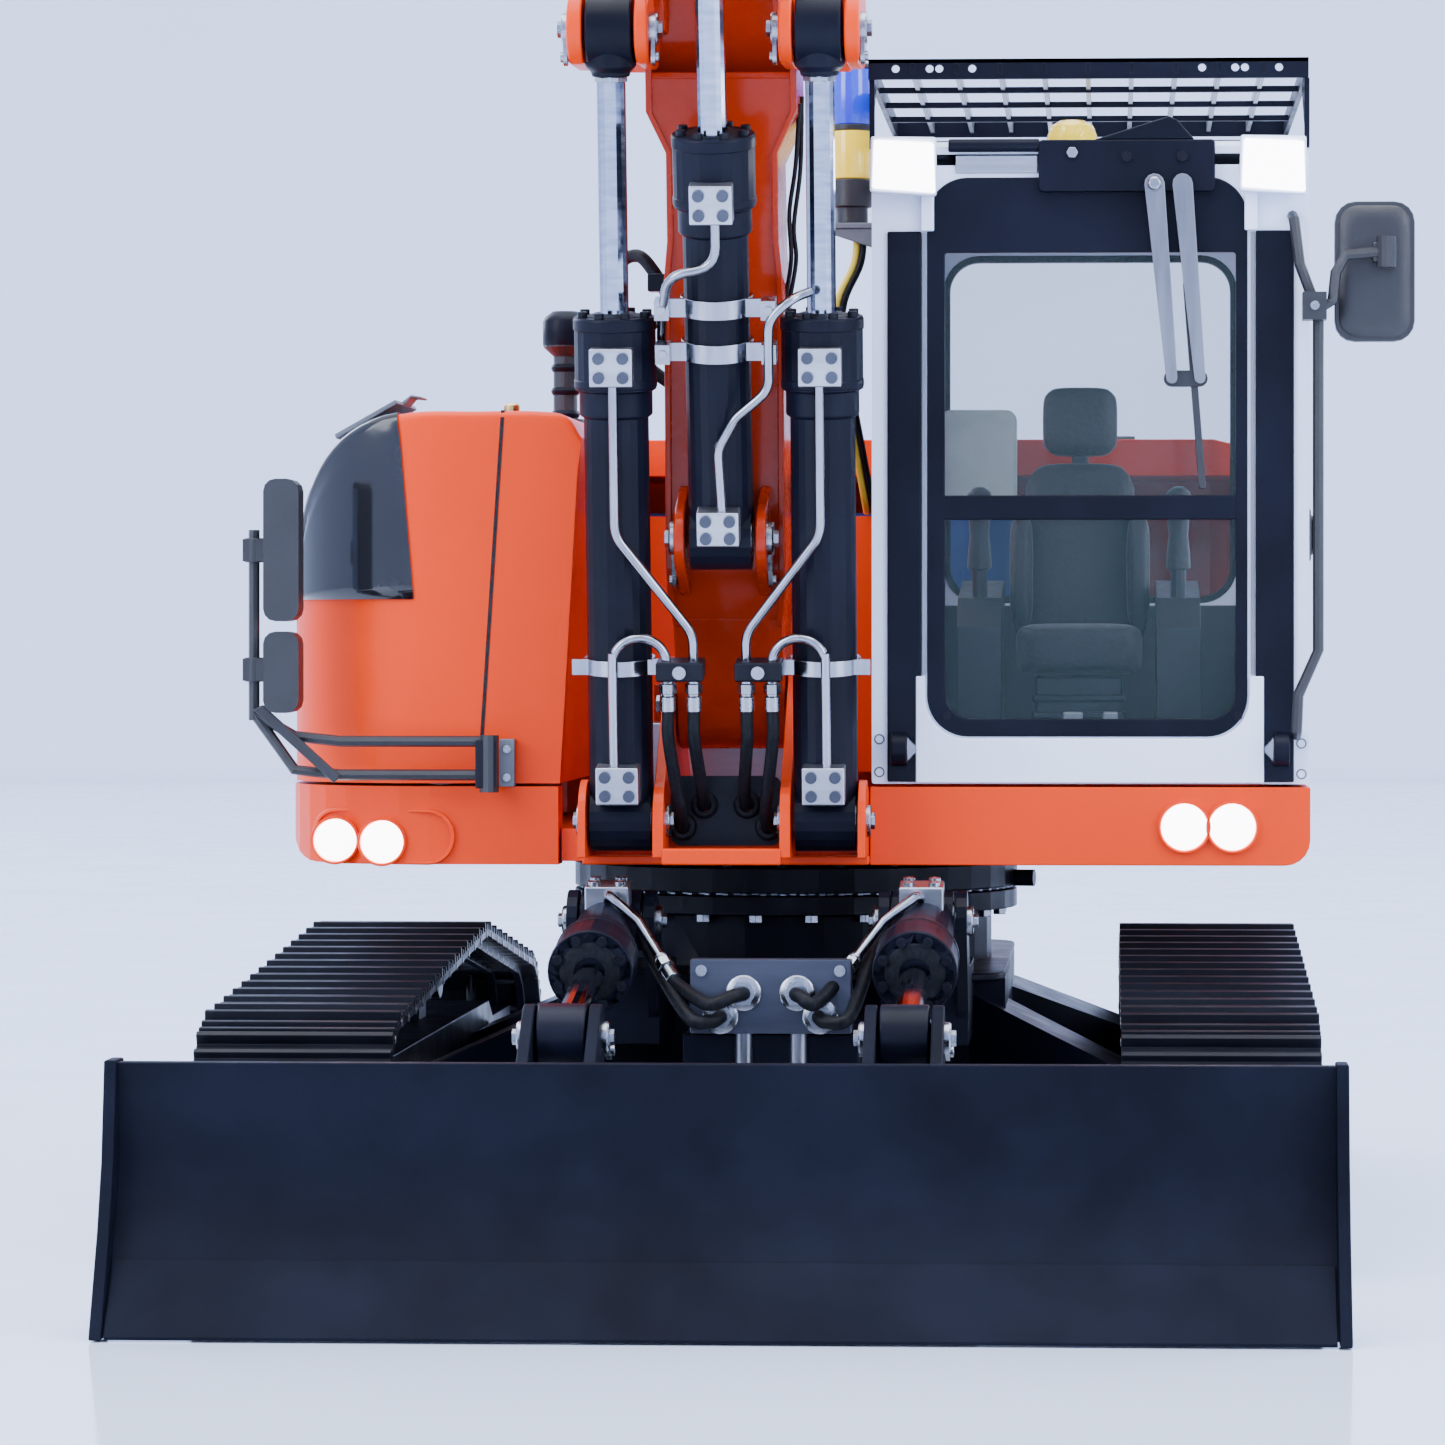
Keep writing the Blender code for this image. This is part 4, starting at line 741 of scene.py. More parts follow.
class Cylinder:
    """One hydraulic cylinder: its axis, and places given along it from the base pin and out from it."""

    def __init__(self, kind, x, tag=""):
        barrel_joint, rod_joint, self.barrel_body, self.rod_body, turn, self.length, self.eye = CYLINDERS[kind]
        self.name = kind + tag
        self.base = Vector((x, pin(barrel_joint).y, pin(barrel_joint).z))
        self.rod_pin = Vector((x, pin(rod_joint).y, pin(rod_joint).z))
        self.axis = heading(self.base, self.rod_pin, turn)
        self.front = self.axis.cross(X_AXIS).normalized()
        if self.front.y > 0.0:
            self.front = -self.front

    def at(self, along, out=0.0, across=0.0):
        """A point along the axis, out to the front and across to the +X side."""
        return self.base + self.axis * along + self.front * out + X_AXIS * across

    def frame_at(self, along, out=0.0, across=0.0):
        """The place and turn of a small part whose Z runs along the axis and whose -Y looks to the front."""
        turn = Matrix((self.axis.cross(self.front), -self.front, self.axis)).transposed().to_4x4()
        turn.translation = self.at(along, out, across)
        return turn


def port_block(cylinder, along, out, width, height, depth, name):
    """A machined block on a barrel's front with four cap screws, the way a hose flange is held."""
    turn = cylinder.frame_at(along, out)
    body = Piece(name, cylinder.barrel_body, "alu", 0.35, 3)
    body.block((-width / 2, -depth, -height / 2), (width / 2, 1.0, height / 2)).make(moved=turn)
    heads = Piece(name + "_screws", cylinder.barrel_body, "dark_metal", 0.12)
    feet = [(sx * width * 0.28, -depth, sz * height * 0.25) for sx in (-1, 1) for sz in (-1, 1)]
    heads.screws(feet, FORWARD, 1.15, 0.75).make(moved=turn)


def make_gland(cylinder):
    """The ring of screws that holds the gland, the rod's wiper seal and the stepped collar."""
    ring = Piece(cylinder.name + "_gland_screws", cylinder.barrel_body, "steel", 0.12)
    for index in range(GLAND_SCREWS):
        angle = math.tau * (index + 0.5) / GLAND_SCREWS
        foot = (6.5 * math.cos(angle), 6.5 * math.sin(angle), 0.0)
        ring.cap_screw(foot, (0, 0, 1), 0.95, 1.1)
    ring.make(moved=cylinder.frame_at(cylinder.length))
    seal = Piece(cylinder.name + "_seal", cylinder.barrel_body, "rubber", 0.2)
    bore = ROD_RADIUS + 0.06
    seal.tube([(-1.5, bore), (-1.5, 5.7), (0.1, 5.7), (0.7, 3.9), (0.7, bore)], (0, 0, 0), (0, 0, 1))
    seal.make(moved=cylinder.frame_at(cylinder.length))
    collar = Piece(cylinder.name + "_collar", cylinder.barrel_body, "black", 0.35, 3)
    end = cylinder.length
    step = end - 14.0
    profile = [(step - 5.5, 6.35), (step - 5.0, 7.1), (step - 0.5, 7.1), (step, 7.4), (step + 0.3, 8.05)]
    profile.append((step + 2.0, 8.05))
    collar.turned(profile, (0, 0, 0), (0, 0, 1), 40)
    collar.turned([(end - 2.6, 8.1), (end - 0.3, 8.1), (end, 7.7)], (0, 0, 0), (0, 0, 1), 40)
    collar.make(moved=cylinder.frame_at(0.0))


def rod_eye(cylinder, width):
    """The black eye on the rod's end, with its neck and lock nut."""
    eye = Piece(cylinder.name + "_rod_eye", cylinder.rod_body, "black", 0.45, 3)
    back = -cylinder.axis
    radius = cylinder.eye
    eye.turned([(-width / 2, radius + 0.25), (width / 2, radius + 0.25)], cylinder.rod_pin, X_AXIS, 40)
    neck = [(radius * 0.5, 4.9), (radius + 0.6, 4.9), (radius + 1.8, 3.7), (radius + 2.6, 3.7)]
    eye.turned(neck, cylinder.rod_pin, back, 32)
    eye.make()
    nut = Piece(cylinder.name + "_lock_nut", cylinder.rod_body, "bolt", 0.15)
    nut.turned([(radius + 2.6, 3.2), (radius + 3.6, 3.2)], cylinder.rod_pin, back, 6)
    nut.make()


def base_eye(cylinder):
    """The bushing that shows on both sides of the barrel's base eye."""
    bush = Piece(cylinder.name + "_base_bush", cylinder.barrel_body, "bolt", 0.1)
    for side in (LEFT, RIGHT):
        bush.tube([(5.7, 2.6), (5.7, 3.9), (6.05, 3.9), (6.05, 2.6)], cylinder.base, X_AXIS * side, 24)
    bush.make()


def fitting(piece, foot, direction, radius=1.5):
    """A hose fitting: nut, waist and crimped sleeve, standing along a direction."""
    nut, waist = radius * 0.9, radius * 0.75
    piece.turned([(0.0, nut), (0.5, nut), (0.7, waist), (1.2, waist)], foot, direction, 16)
    piece.turned([(1.2, radius * 1.15), (3.2, radius * 1.15)], foot, direction, 6)
    sleeve = [(3.2, radius * 0.8), (3.6, radius * 0.8), (3.8, radius), (6.6, radius), (6.9, radius * 0.7)]
    piece.turned(sleeve, foot, direction, 16)


def strap_round(piece, cylinder, along, height, radius, ears):
    """A clamp band round a barrel, with flat ears across at the places given."""
    turn = cylinder.frame_at(along)
    band = Piece(piece, cylinder.barrel_body, "tube", 0.15)
    half, outer = height / 2, radius + STRAP_THICKNESS
    band.tube([(-half, radius), (-half, outer), (half, outer), (half, radius)], (0, 0, 0), (0, 0, 1), 40)
    for low, high in ears:
        band.block((low, -radius * 0.62, -half), (high, -radius * 0.62 + 1.1, half))
    band.make(moved=turn)


def pin_with_keeper(name, body, x, centre, half_width, radius=3.4, keeper=None):
    """A pivot pin's two ends, each with a washer and a screw; keeper is the way its plate points."""
    made = Piece(name, body, "bolt", 0.2)
    for side in (LEFT, RIGHT):
        foot = Vector((x + side * half_width, centre[0], centre[1]))
        made.turned([(-0.4, radius), (0.9, radius), (1.2, radius - 0.3)], foot, X_AXIS * side, 28)
        made.hexagon(foot + X_AXIS * side * 1.2, X_AXIS * side, radius * 0.5, 0.9)
        if keeper is not None:
            far = (centre[0] + keeper[0], centre[1] + keeper[1])
            plate = strap(centre, radius * 0.75, far, 1.7)
            made.prism(plate, "X", *sorted((foot.x, foot.x + side * 0.8)))
            made.cap_screw(Vector((foot.x + side * 0.8, far[0], far[1])), X_AXIS * side, 1.0, 0.6)
    made.make()


def make_lift_cylinders():
    """The pair that lifts the boom, with their steel pipes, clamps and the hoses into the house."""
    for side, tag in SIDES:
        x = BOOM_X + side * LIFT_SPACING
        lift = Cylinder("lift", x, "_" + tag)
        make_gland(lift)
        rod_eye(lift, 8.8)
        base_eye(lift)
        port_block(lift, 90.0, GLAND_RADIUS - 1.0, 8.3, 7.4, 3.6, lift.name + "_top_port")
        port_block(lift, 8.6, BARREL_RADIUS - 0.6, 8.3, 7.4, 4.6, lift.name + "_base_port")
        clamp_along = 31.0
        ears = [sorted((-side * 5.0, -side * 13.2)), sorted((side * 5.0, side * 9.0))]
        strap_round(lift.name + "_strap", lift, clamp_along, 3.1, BARREL_RADIUS, ears)
        clamp = Piece(lift.name + "_pipe_clamp", lift.barrel_body, "steel", 0.5, 3)
        middle = -side * 12.4
        clamp.block((middle - 4.6, -10.2, -1.9), (middle + 4.6, -3.0, 1.9))
        clamp.make(moved=lift.frame_at(clamp_along))
        screw = Piece(lift.name + "_clamp_screw", lift.barrel_body, "bolt", 0.15)
        screw.cap_screw((middle, -10.2, 0.0), FORWARD, 1.3, 0.7).make(moved=lift.frame_at(clamp_along))
        out = 8.9
        inner, outer = -side * 14.9, -side * 9.9
        port = -side * 0.2
        long_pipe = [lift.at(86.6, GLAND_RADIUS + 0.8, port), lift.at(84.0, GLAND_RADIUS + 0.9, port)]
        long_pipe += [lift.at(80.0, out, port), lift.at(57.5, out, port), lift.at(38.0, out - 2.0, inner)]
        long_pipe += [lift.at(clamp_along - 3.0, out - 2.4, inner)]
        goose = [lift.at(11.5, BARREL_RADIUS + 2.4, side * 0.6), lift.at(32.5, out, side * 0.6)]
        for degrees in range(20, 181, 20):
            angle = math.radians(degrees)
            aside = side * 0.6 - side * 5.2 * (1 - math.cos(angle))
            goose.append(lift.at(32.5 + 4.9 * math.sin(angle), out - 0.006 * degrees, aside))
        goose += [lift.at(clamp_along - 3.0, out - 2.4, outer)]
        pipes = Piece(lift.name + "_pipes", lift.barrel_body, "tube", 0.0)
        pipes.pipe(bent_line(long_pipe, 7.0), 0.95).pipe(smooth_line(goose, 3), 0.95).make()
        ends = Piece(lift.name + "_fittings", lift.barrel_body, "bolt", 0.1)
        for across in (inner, outer):
            fitting(ends, lift.at(clamp_along - 1.5, out - 2.4, across), -lift.axis)
        ends.make()
        for index, (across, target) in enumerate(zip((inner, outer), HOSE_HOLES)):
            start = lift.at(clamp_along - 8.0, out - 2.4, across)
            end = Vector((BOOM_X + side * target[0], -99.6, target[1]))
            line = [
                start, start - lift.axis * 6.0, end + Vector((0.0, -7.5, 4.0)),
                end + Vector((0.0, -2.6, 0.5)),
            ]
            line.append(end + Y_AXIS * 2.0)
            hose = Piece(f"{lift.name}_hose_{index}", lift.barrel_body, "rubber", 0.0)
            hose.pipe(smooth_line(line, 6), 1.25).make(bends=("house", line[1], line[-2]))


def make_fold_cylinder():
    """The cylinder between the lift pair, which folds the upper boom."""
    fold = Cylinder("fold", BOOM_X)
    make_gland(fold)
    rod_eye(fold, 8.8)
    base_eye(fold)
    port_block(fold, 68.2, GLAND_RADIUS - 1.0, 8.2, 7.6, 4.2, "fold_top_port")
    port_block(fold, 4.6, 6.2, 8.2, 6.8, 4.4, "fold_base_port")
    for index, along in enumerate((46.8, 38.2)):
        strap_round(f"fold_strap_{index}", fold, along, 3.7, BARREL_RADIUS, [(-11.6, -5.6), (5.6, 11.6)])
        ends = Piece(f"fold_strap_ends_{index}", fold.barrel_body, "bolt", 0.2)
        for across in (-10.2, 10.2):
            ends.block((across - 1.4, -6.4, -1.9), (across + 1.4, -2.0, 1.9))
            ends.cap_screw((across, -6.4, 0.0), FORWARD, 0.9, 0.5)
        ends.make(moved=fold.frame_at(along))
    out = GLAND_RADIUS + 0.6
    left = [
        fold.at(64.6, out, 0.6), fold.at(55.5, out - 0.4, 0.6), fold.at(54.2, out, -8.6),
        fold.at(46.0, 5.0, -10.2),
    ]
    left += [fold.at(40.0, 0.0, -10.8)]
    right = [
        fold.at(7.8, 8.8, 0.8), fold.at(20.0, 8.4, 0.2), fold.at(26.0, 8.2, 3.6), fold.at(31.5, 7.6, 10.2)
    ]
    right += [fold.at(45.0, 6.6, 10.2), fold.at(49.0, 6.0, 14.6), fold.at(49.5, 2.0, 18.0)]
    pipes = Piece("fold_pipes", fold.barrel_body, "tube", 0.0)
    pipes.pipe(bent_line(left, 5.0), 0.95).pipe(bent_line(right, 5.5), 0.95).make()
    pin_with_keeper("fold_base_pin", "boom_lower", BOOM_X, (fold.base.y, fold.base.z), 9.0, 3.4, (3.0, -8.0))


def make_upper_cylinders():
    """The stick and bucket cylinders on the far side of the arm, with their ports, pipes and eyes."""
    for kind, width, port_along in (("stick", 7.8, 74.0), ("bucket", 7.8, 72.0)):
        made = Cylinder(kind, BOOM_X)
        made.front = -made.front
        make_gland(made)
        rod_eye(made, width)
        base_eye(made)
        port_block(made, port_along + 4.0, GLAND_RADIUS - 1.0, 8.0, 7.4, 1.8, kind + "_top_port")
        port_block(made, 13.0, BARREL_RADIUS - 0.6, 8.0, 7.0, 3.4, kind + "_base_port")
        for along in (30.0, 56.0):
            strap_round(f"{kind}_strap_{round(along)}", made, along, 3.2, BARREL_RADIUS, [(-9.6, -5.6)])
        pipes = Piece(kind + "_pipes", made.barrel_body, "tube", 0.0)
        out = BARREL_RADIUS + 1.4
        line = [made.at(port_along, GLAND_RADIUS + 0.4, 0.0), made.at(port_along - 9.0, out, -1.0)]
        line += [made.at(port_along - 14.0, 4.0, -7.8), made.at(20.0, 2.0, -8.2), made.at(11.0, 1.0, -8.2)]
        pipes.pipe(bent_line(line, 5.0), 0.95).make()


def make_blade_cylinders():
    """The pair that lifts the blade, with the pipes and hoses to the manifold between them."""
    for side, tag in SIDES:
        x = side * BLADE_CYLINDER_X
        made = Cylinder("blade", x, "_" + tag)
        if made.front.z < 0.0:
            made.front = -made.front
        make_gland(made)
        rod_eye(made, 8.8)
        base_eye(made)
        name = made.name + "_port"
        turn = made.frame_at(8.5, 5.0)
        port = Piece(name, made.barrel_body, "alu", 0.35, 3)
        port.block((-4.3, -4.2, -3.6), (4.3, 1.0, 3.6)).make(moved=turn)
        heads = Piece(name + "_screws", made.barrel_body, "bolt", 0.12)
        feet = [(sx * 2.5, -4.2, sz * 2.0) for sx in (-1, 1) for sz in (-1, 1)]
        heads.screws(feet, FORWARD, 1.15, 0.8).make(moved=turn)
        inward = -side
        pipe = Piece(made.name + "_pipe", made.barrel_body, "tube", 0.0)
        line = [made.at(11.0, 6.5, 0.0), made.at(14.0, 8.2, inward * 0.6), made.at(22.0, 4.4, inward * 7.2)]
        line += [made.at(31.0, -1.2, inward * 12.4)]
        pipe.pipe(bent_line(line, 4.5), 1.0).make()
        ends = Piece(made.name + "_fitting", made.barrel_body, "bolt", 0.1)
        run = (line[-1] - line[-2]).normalized()
        tip = line[-1] - run
        fitting(ends, tip, run)
        ends.make()
        start = tip + run * 6.0
        end = Vector((side * 5.1 + 2.9, -135.0, 54.2))
        aside = start.x - end.x
        line = [
            start, start + run * 2.0, end + Vector((aside * 0.45, -5.2, -1.6)),
            end + Vector((aside * 0.12, -4.6, -0.2)),
        ]
        line += [end - Y_AXIS * 2.0, end + Y_AXIS]
        hose = Piece(made.name + "_hose", made.barrel_body, "rubber", 0.0)
        hose.pipe(smooth_line(line, 7), 1.35).make(bends=("undercarriage", line[1], line[3]))
        low = made.at(12.0, 2.0, inward * 6.8)
        end = Vector((side * 9.5 + 2.9, -135.0, 49.8))
        line = [low, made.at(22.0, -1.0, inward * 9.0), end + Vector((side * 6.0, -3.0, 0.6))]
        line += [end + Vector((side * 1.6, -4.2, -0.6)), end - Y_AXIS * 2.0, end + Y_AXIS]
        second = Piece(made.name + "_low_hose", made.barrel_body, "rubber", 0.0)
        second.pipe(smooth_line(line, 7), 1.35).make(bends=("undercarriage", line[1], line[3]))
        rod_pin, base = made.rod_pin, made.base
        pin_with_keeper("blade_rod_pin_" + tag, "blade", x, (rod_pin.y, rod_pin.z), 7.1, 2.9, (8.0, -3.0))
        pin_with_keeper("blade_base_pin_" + tag, "undercarriage", x, (base.y, base.z), 8.7, 2.9)


# ---------------------------------------------------------------- tracks and undercarriage

TRACK_X = 88.5
TRACK_WIDTH = 38.0
SHOE_PITCH = 10.9
SHOE_INSET = 0.3
SPROCKET = (pin("track_drive_left").y, pin("track_drive_left").z, 24.0)
IDLER = (pin("track_idle_left").y, pin("track_idle_left").z, 25.0)
CARRIER = (25.0, 48.0, 12.0)


def track_stops(inset, spacing):
    """Even places round the track, inset from its outermost line, each with its direction."""
    wheels = [(y, z, radius - inset) for y, z, radius in (SPROCKET, CARRIER, IDLER)]
    return walk(belt(wheels, 24), spacing)


def make_track(side, name):
    """Steel shoes with three grousers each on a chain of links."""
    inner, outer = TRACK_X - TRACK_WIDTH / 2, TRACK_X + TRACK_WIDTH / 2
    low, high = sorted((side * inner, side * outer))
    shoes = Piece(name + "_shoes", "undercarriage", "steel", 0.18)
    links = Piece(name + "_links", "undercarriage", "black", 0.2)
    pins = Piece(name + "_pins", "undercarriage", "edge", 0.1)
    half = SHOE_PITCH / 2
    rear = [(0.9, -3.5), (-0.6, -2.4), (-0.6, -1.9), (1.0, -1.9), (1.3, 0.0), (2.5, 0.0), (2.9, -2.0)]
    rib = [(-0.2, -2.0), (0.1, -0.7), (1.2, -0.7), (1.5, -2.0)]
    front = [(-2.4, -2.0), (-2.0, -0.9), (-1.0, -0.9), (-0.6, -2.6), (-0.6, -3.5)]
    section = [(a - half, b) for a, b in rear] + rib + [(a + half, b) for a, b in front]
    for centre, travel in track_stops(SHOE_INSET, SHOE_PITCH):
        outward = Vector((travel.y, -travel.x))

        def spot(along, lift):
            return tuple(centre + travel * along + outward * lift)

        shoes.prism([spot(*point) for point in section], "X", low, high)
        for across in (8.0, 14.5):
            for hand in (-1.0, 1.0):
                x = side * TRACK_X + hand * across
                link = [
                    spot(-half + 0.4, -5.4), spot(-half + 0.4, -3.3), spot(half - 0.4, -3.3),
                    spot(half - 0.4, -5.4),
                ]
                links.prism(link, "X", x - 1.0, x + 1.0)
        for x, hand in ((low, -1.0), (high, 1.0)):
            pins.turned(
                [(-0.6, 0.8), (0.12, 0.8)], side_point(x, spot(-half + 0.2, -3.0)), X_AXIS * hand, 10
            )
        ends = [side_point(side * TRACK_X + reach, spot(-half + 0.2, -4.2)) for reach in (-15.5, 15.5)]
        pins.rod(*ends, 0.8, 8)
    shoes.make(name)
    links.make()
    pins.make()


def make_running_gear(side, tag):
    """Rollers, hub covers and the bolts on the track frame."""
    x = side * TRACK_X
    rollers = Piece("rollers_" + tag, "undercarriage", "steel", 0.3)
    profile = [
        (-11.4, 3.2), (-11.4, 5.2), (-9.6, 5.2), (-9.4, 4.6), (9.4, 4.6), (9.6, 5.2), (11.4, 5.2),
        (11.4, 3.2),
    ]
    for index in range(6):
        rollers.turned(profile, (x, -78.0 + 31.0 * index, 10.9), X_AXIS, 28)
    rollers.make()
    screws = Piece("frame_screws_" + tag, "undercarriage", "bolt", 0.15)
    face = x + side * 12.5
    for index in range(6):
        screws.cap_screw((face, -78.0 + 31.0 * index, 17.0), X_AXIS * side, 1.7, 1.0)
    screws.screws([(face, y, 30.0) for y in (-60.0, 0.0, 60.0)], X_AXIS * side, 1.3, 0.8)
    screws.make()
    rib = Piece("frame_rib_" + tag, "undercarriage", "black", 0.4)
    lows, highs = sorted((face, face + side * 1.6))
    rib.prism([(-84.0, 21.0), (84.0, 21.0), (78.0, 26.0), (-78.0, 26.0)], "X", lows, highs).make()
    drive = Piece("final_drive_" + tag, "sprocket_" + tag, "black", 0.4, 3)
    hub = [(9.0, 9.6), (11.5, 9.6), (13.2, 8.0), (13.2, 3.0), (14.0, 2.6)]
    drive.turned(hub, (x, *SPROCKET[:2]), X_AXIS * side, 40).make()
    ring = Piece("final_drive_screws_" + tag, "sprocket_" + tag, "bolt", 0.12)
    for index in range(8):
        angle = math.tau * index / 8
        y, z = SPROCKET[0] + 12.0 * math.cos(angle), SPROCKET[1] + 12.0 * math.sin(angle)
        ring.cap_screw((x + side * 4.6, y, z), X_AXIS * side, 1.0, 0.7)
    ring.make()
    cover = Piece("idler_hub_" + tag, "idler_" + tag, "edge", 0.3)
    cover.turned([(8.2, 4.6), (9.4, 4.4), (9.8, 3.6)], (x, *IDLER[:2]), X_AXIS * side, 32).make()


def make_undercarriage():
    """The slew ring's screws and gear, the blade manifold's ports and the car body's covers."""
    bolts = Piece("slew_ring_screws", "undercarriage", "bolt", 0.15)
    for index in range(24):
        angle = math.tau * (index + 0.5) / 24
        bolts.hexagon((44.2 * math.cos(angle), 44.2 * math.sin(angle), 64.4), (0, 0, -1), 1.5, 1.6)
    bolts.make()
    turning = Piece("slew_ring_upper_screws", "house", "steel", 0.15)
    for index in range(24):
        angle = math.tau * index / 24
        turning.cap_screw((44.0 * math.cos(angle), 44.0 * math.sin(angle), 74.2), (0, 0, 1), 1.4, 1.0)
    turning.turned([(0.0, 1.8), (4.4, 1.8)], (47.0, -6.0, 70.6), (1.0, -0.2, 0.0), 16)
    turning.make()
    gear = Piece("slew_gear", "undercarriage", "edge", 0.1)
    teeth = []
    for index in range(72):
        for turn, radius in ((-0.32, 44.8), (-0.14, 46.6), (0.14, 46.6), (0.32, 44.8)):
            angle = math.tau * (index + turn) / 72
            teeth.append((radius * math.cos(angle), radius * math.sin(angle)))
    gear.prism(teeth, "Z", 68.5, 68.95).make()

    low, high = node_box("blade_manifold")
    middle = (low.x + high.x) / 2
    face = low.y
    rings = Piece("manifold_ports", "undercarriage", "bolt", 0.15)
    for across, height in ((-5.1, 54.2), (5.1, 54.2), (-9.5, 49.8), (9.5, 49.8)):
        foot = (middle + across, face, height)
        rings.turned([(-0.2, 3.4), (1.2, 3.4), (1.5, 3.0)], foot, FORWARD, 28)
        rings.hexagon((foot[0], face - 1.5, foot[2]), FORWARD, 2.5, 1.8)
    rings.screws([(middle + sx * 13.2, face, z) for sx in (-1, 1) for z in (48.6, 58.4)], FORWARD, 1.1, 0.8)
    rings.make()
    legs = Piece("manifold_legs", "undercarriage", "edge", 0.3)
    for across in (-5.2, 5.2):
        legs.rod((middle + across, face + 2.0, 46.6), (middle + across, face + 2.0, 40.0), 1.7)
    legs.make()
    plate = Piece("nose_plate", "undercarriage", "black", 0.5, 3)
    plate.prism(rounded((-46.0, -64.0), (46.0, 64.0), 10.0), "Z", 52.0, 53.6).make()
    covers = Piece("belly_screws", "undercarriage", "bolt", 0.2)
    feet = [(sx * 38.0, sy * 44.0, 28.0) for sx in (-1, 1) for sy in (-1, 0, 1)]
    covers.screws(feet, (0, 0, -1), 1.8, 0.8)
    tops = [(sx * 34.0, -60.0, 53.6) for sx in (-1, 1)] + [(sx * 34.0, 60.0, 53.6) for sx in (-1, 1)]
    covers.screws(tops, (0, 0, 1), 1.6, 1.0).make()


MOLDBOARD = [(-215.2, 47.2), (-213.8, 30.7), (-216.4, 21.5), (-221.0, 13.3), (-229.6, 1.2)]
BLADE_INSIDE = 106.9


def make_blade():
    """The faceted moldboard between its end plates, the arms' ears behind it, and the cutting edge."""
    blade = Piece("moldboard", "blade", "blade", 0.35, 3)
    rear = [(-226.0, 1.0), (-218.0, 12.0), (-213.2, 21.0), (-210.4, 30.7), (-211.6, 47.2)]
    blade.prism(MOLDBOARD + rear, "X", -BLADE_INSIDE, BLADE_INSIDE)
    end_plate = [
        (-216.4, 47.6), (-219.0, 30.0), (-223.0, 18.0), (-231.0, 0.3), (-224.0, 0.3), (-206.0, 22.0)
    ]
    end_plate += [(-206.0, 40.0), (-209.0, 47.6)]
    rod, pivot = pin("blade_rod_turn"), pin("blade_lift")
    arm = strap((pivot.y, pivot.z), 7.2, (-206.4, 23.0), 5.0)
    ear = strap((rod.y, rod.z), 6.0, (-206.6, 37.0), 5.6)
    for side in (LEFT, RIGHT):
        for outline, inner, outer in (
            (end_plate, BLADE_INSIDE - 0.2, BLADE_INSIDE + 2.0),
            (arm, 20.6, 30.4),
            (ear, BLADE_CYLINDER_X + 4.9, BLADE_CYLINDER_X + 7.1),
            (ear, BLADE_CYLINDER_X - 7.1, BLADE_CYLINDER_X - 4.9),
        ):
            low, high = sorted((side * inner, side * outer))
            blade.prism(outline, "X", low, high)
    blade.make("dozer_blade")
    edge = Piece("blade_cutting_edge", "blade", "blade", 0.15)
    strip = [(-221.6, 13.4), (-230.6, 0.9), (-230.2, 0.35), (-228.6, 0.35), (-220.4, 12.2)]
    edge.prism(strip, "X", -BLADE_INSIDE + 0.6, BLADE_INSIDE - 0.6).make()
    ribs = Piece("blade_ribs", "blade", "black", 0.4)
    for x in (-84.0, -50.0, 0.0, 50.0, 84.0):
        rib = [(-212.0, 44.0), (-207.0, 40.0), (-206.0, 24.0), (-214.0, 12.0), (-222.0, 3.0), (-216.0, 18.0)]
        rib.append((-211.0, 30.0))
        ribs.prism(rib, "X", x - 1.0, x + 1.0)
    tube = [(-211.2, 46.6), (-207.4, 46.6), (-207.4, 42.6), (-211.0, 42.6)]
    ribs.prism(tube, "X", -BLADE_INSIDE, BLADE_INSIDE).make()
    pivots = Piece("blade_pivots", "blade", "bolt", 0.2)
    for side in (LEFT, RIGHT):
        for edge_x, hand in ((30.5, 1.0), (20.5, -1.0)):
            foot = Vector((side * edge_x, pivot.y, pivot.z))
            outward = X_AXIS * side * hand
            pivots.turned([(-0.5, 3.4), (0.8, 3.4)], foot, outward, 24)
            pivots.hexagon(foot + outward * 0.8, outward, 2.0, 0.9)
    pivots.make()


# ---------------------------------------------------------------- house

HOOD_LEFT, FRONT_Y = -98.0, -95.0
HOOD_CORNER = 30.0
HOOD_SIDE = [(-98.0, 93.0), (-98.0, 108.0), (-97.9, 122.0), (-96.6, 136.0), (-93.4, 149.0), (-88.5, 157.8)]
HOOD_SIDE += [(-81.0, 163.6), (-71.0, 166.4), (-58.0, 166.6), (-46.0, 166.6), (-40.0, 165.6), (-37.0, 161.4)]
HOOD_TOP, HOOD_FOOT = 166.6, 93.0
HOOD_INNER_FOOT = -41.2
SEAM_FOOT, SEAM_HEAD = -57.2, -52.6
PANEL_EDGE = -73.0


def corner_front(x, front=FRONT_Y, radius=HOOD_CORNER):
    """How far forward the hood reaches at this x: flat, then rounded off towards the machine's side."""
    into = min(max(HOOD_LEFT + radius - x, 0.0), radius)
    return front + radius - math.sqrt(radius * radius - into * into)


def hood_section(lift=0.0):
    """The hood's smooth side and top line in the front view, moved outwards by lift."""
    line = smooth_line(HOOD_SIDE, 4)
    moved = []
    for index, point in enumerate(line):
        run = line[min(index + 1, len(line) - 1)] - line[max(index - 1, 0)]
        normal = Vector((-run.y, run.x)).normalized()
        moved.append(point + normal * lift)
    return moved


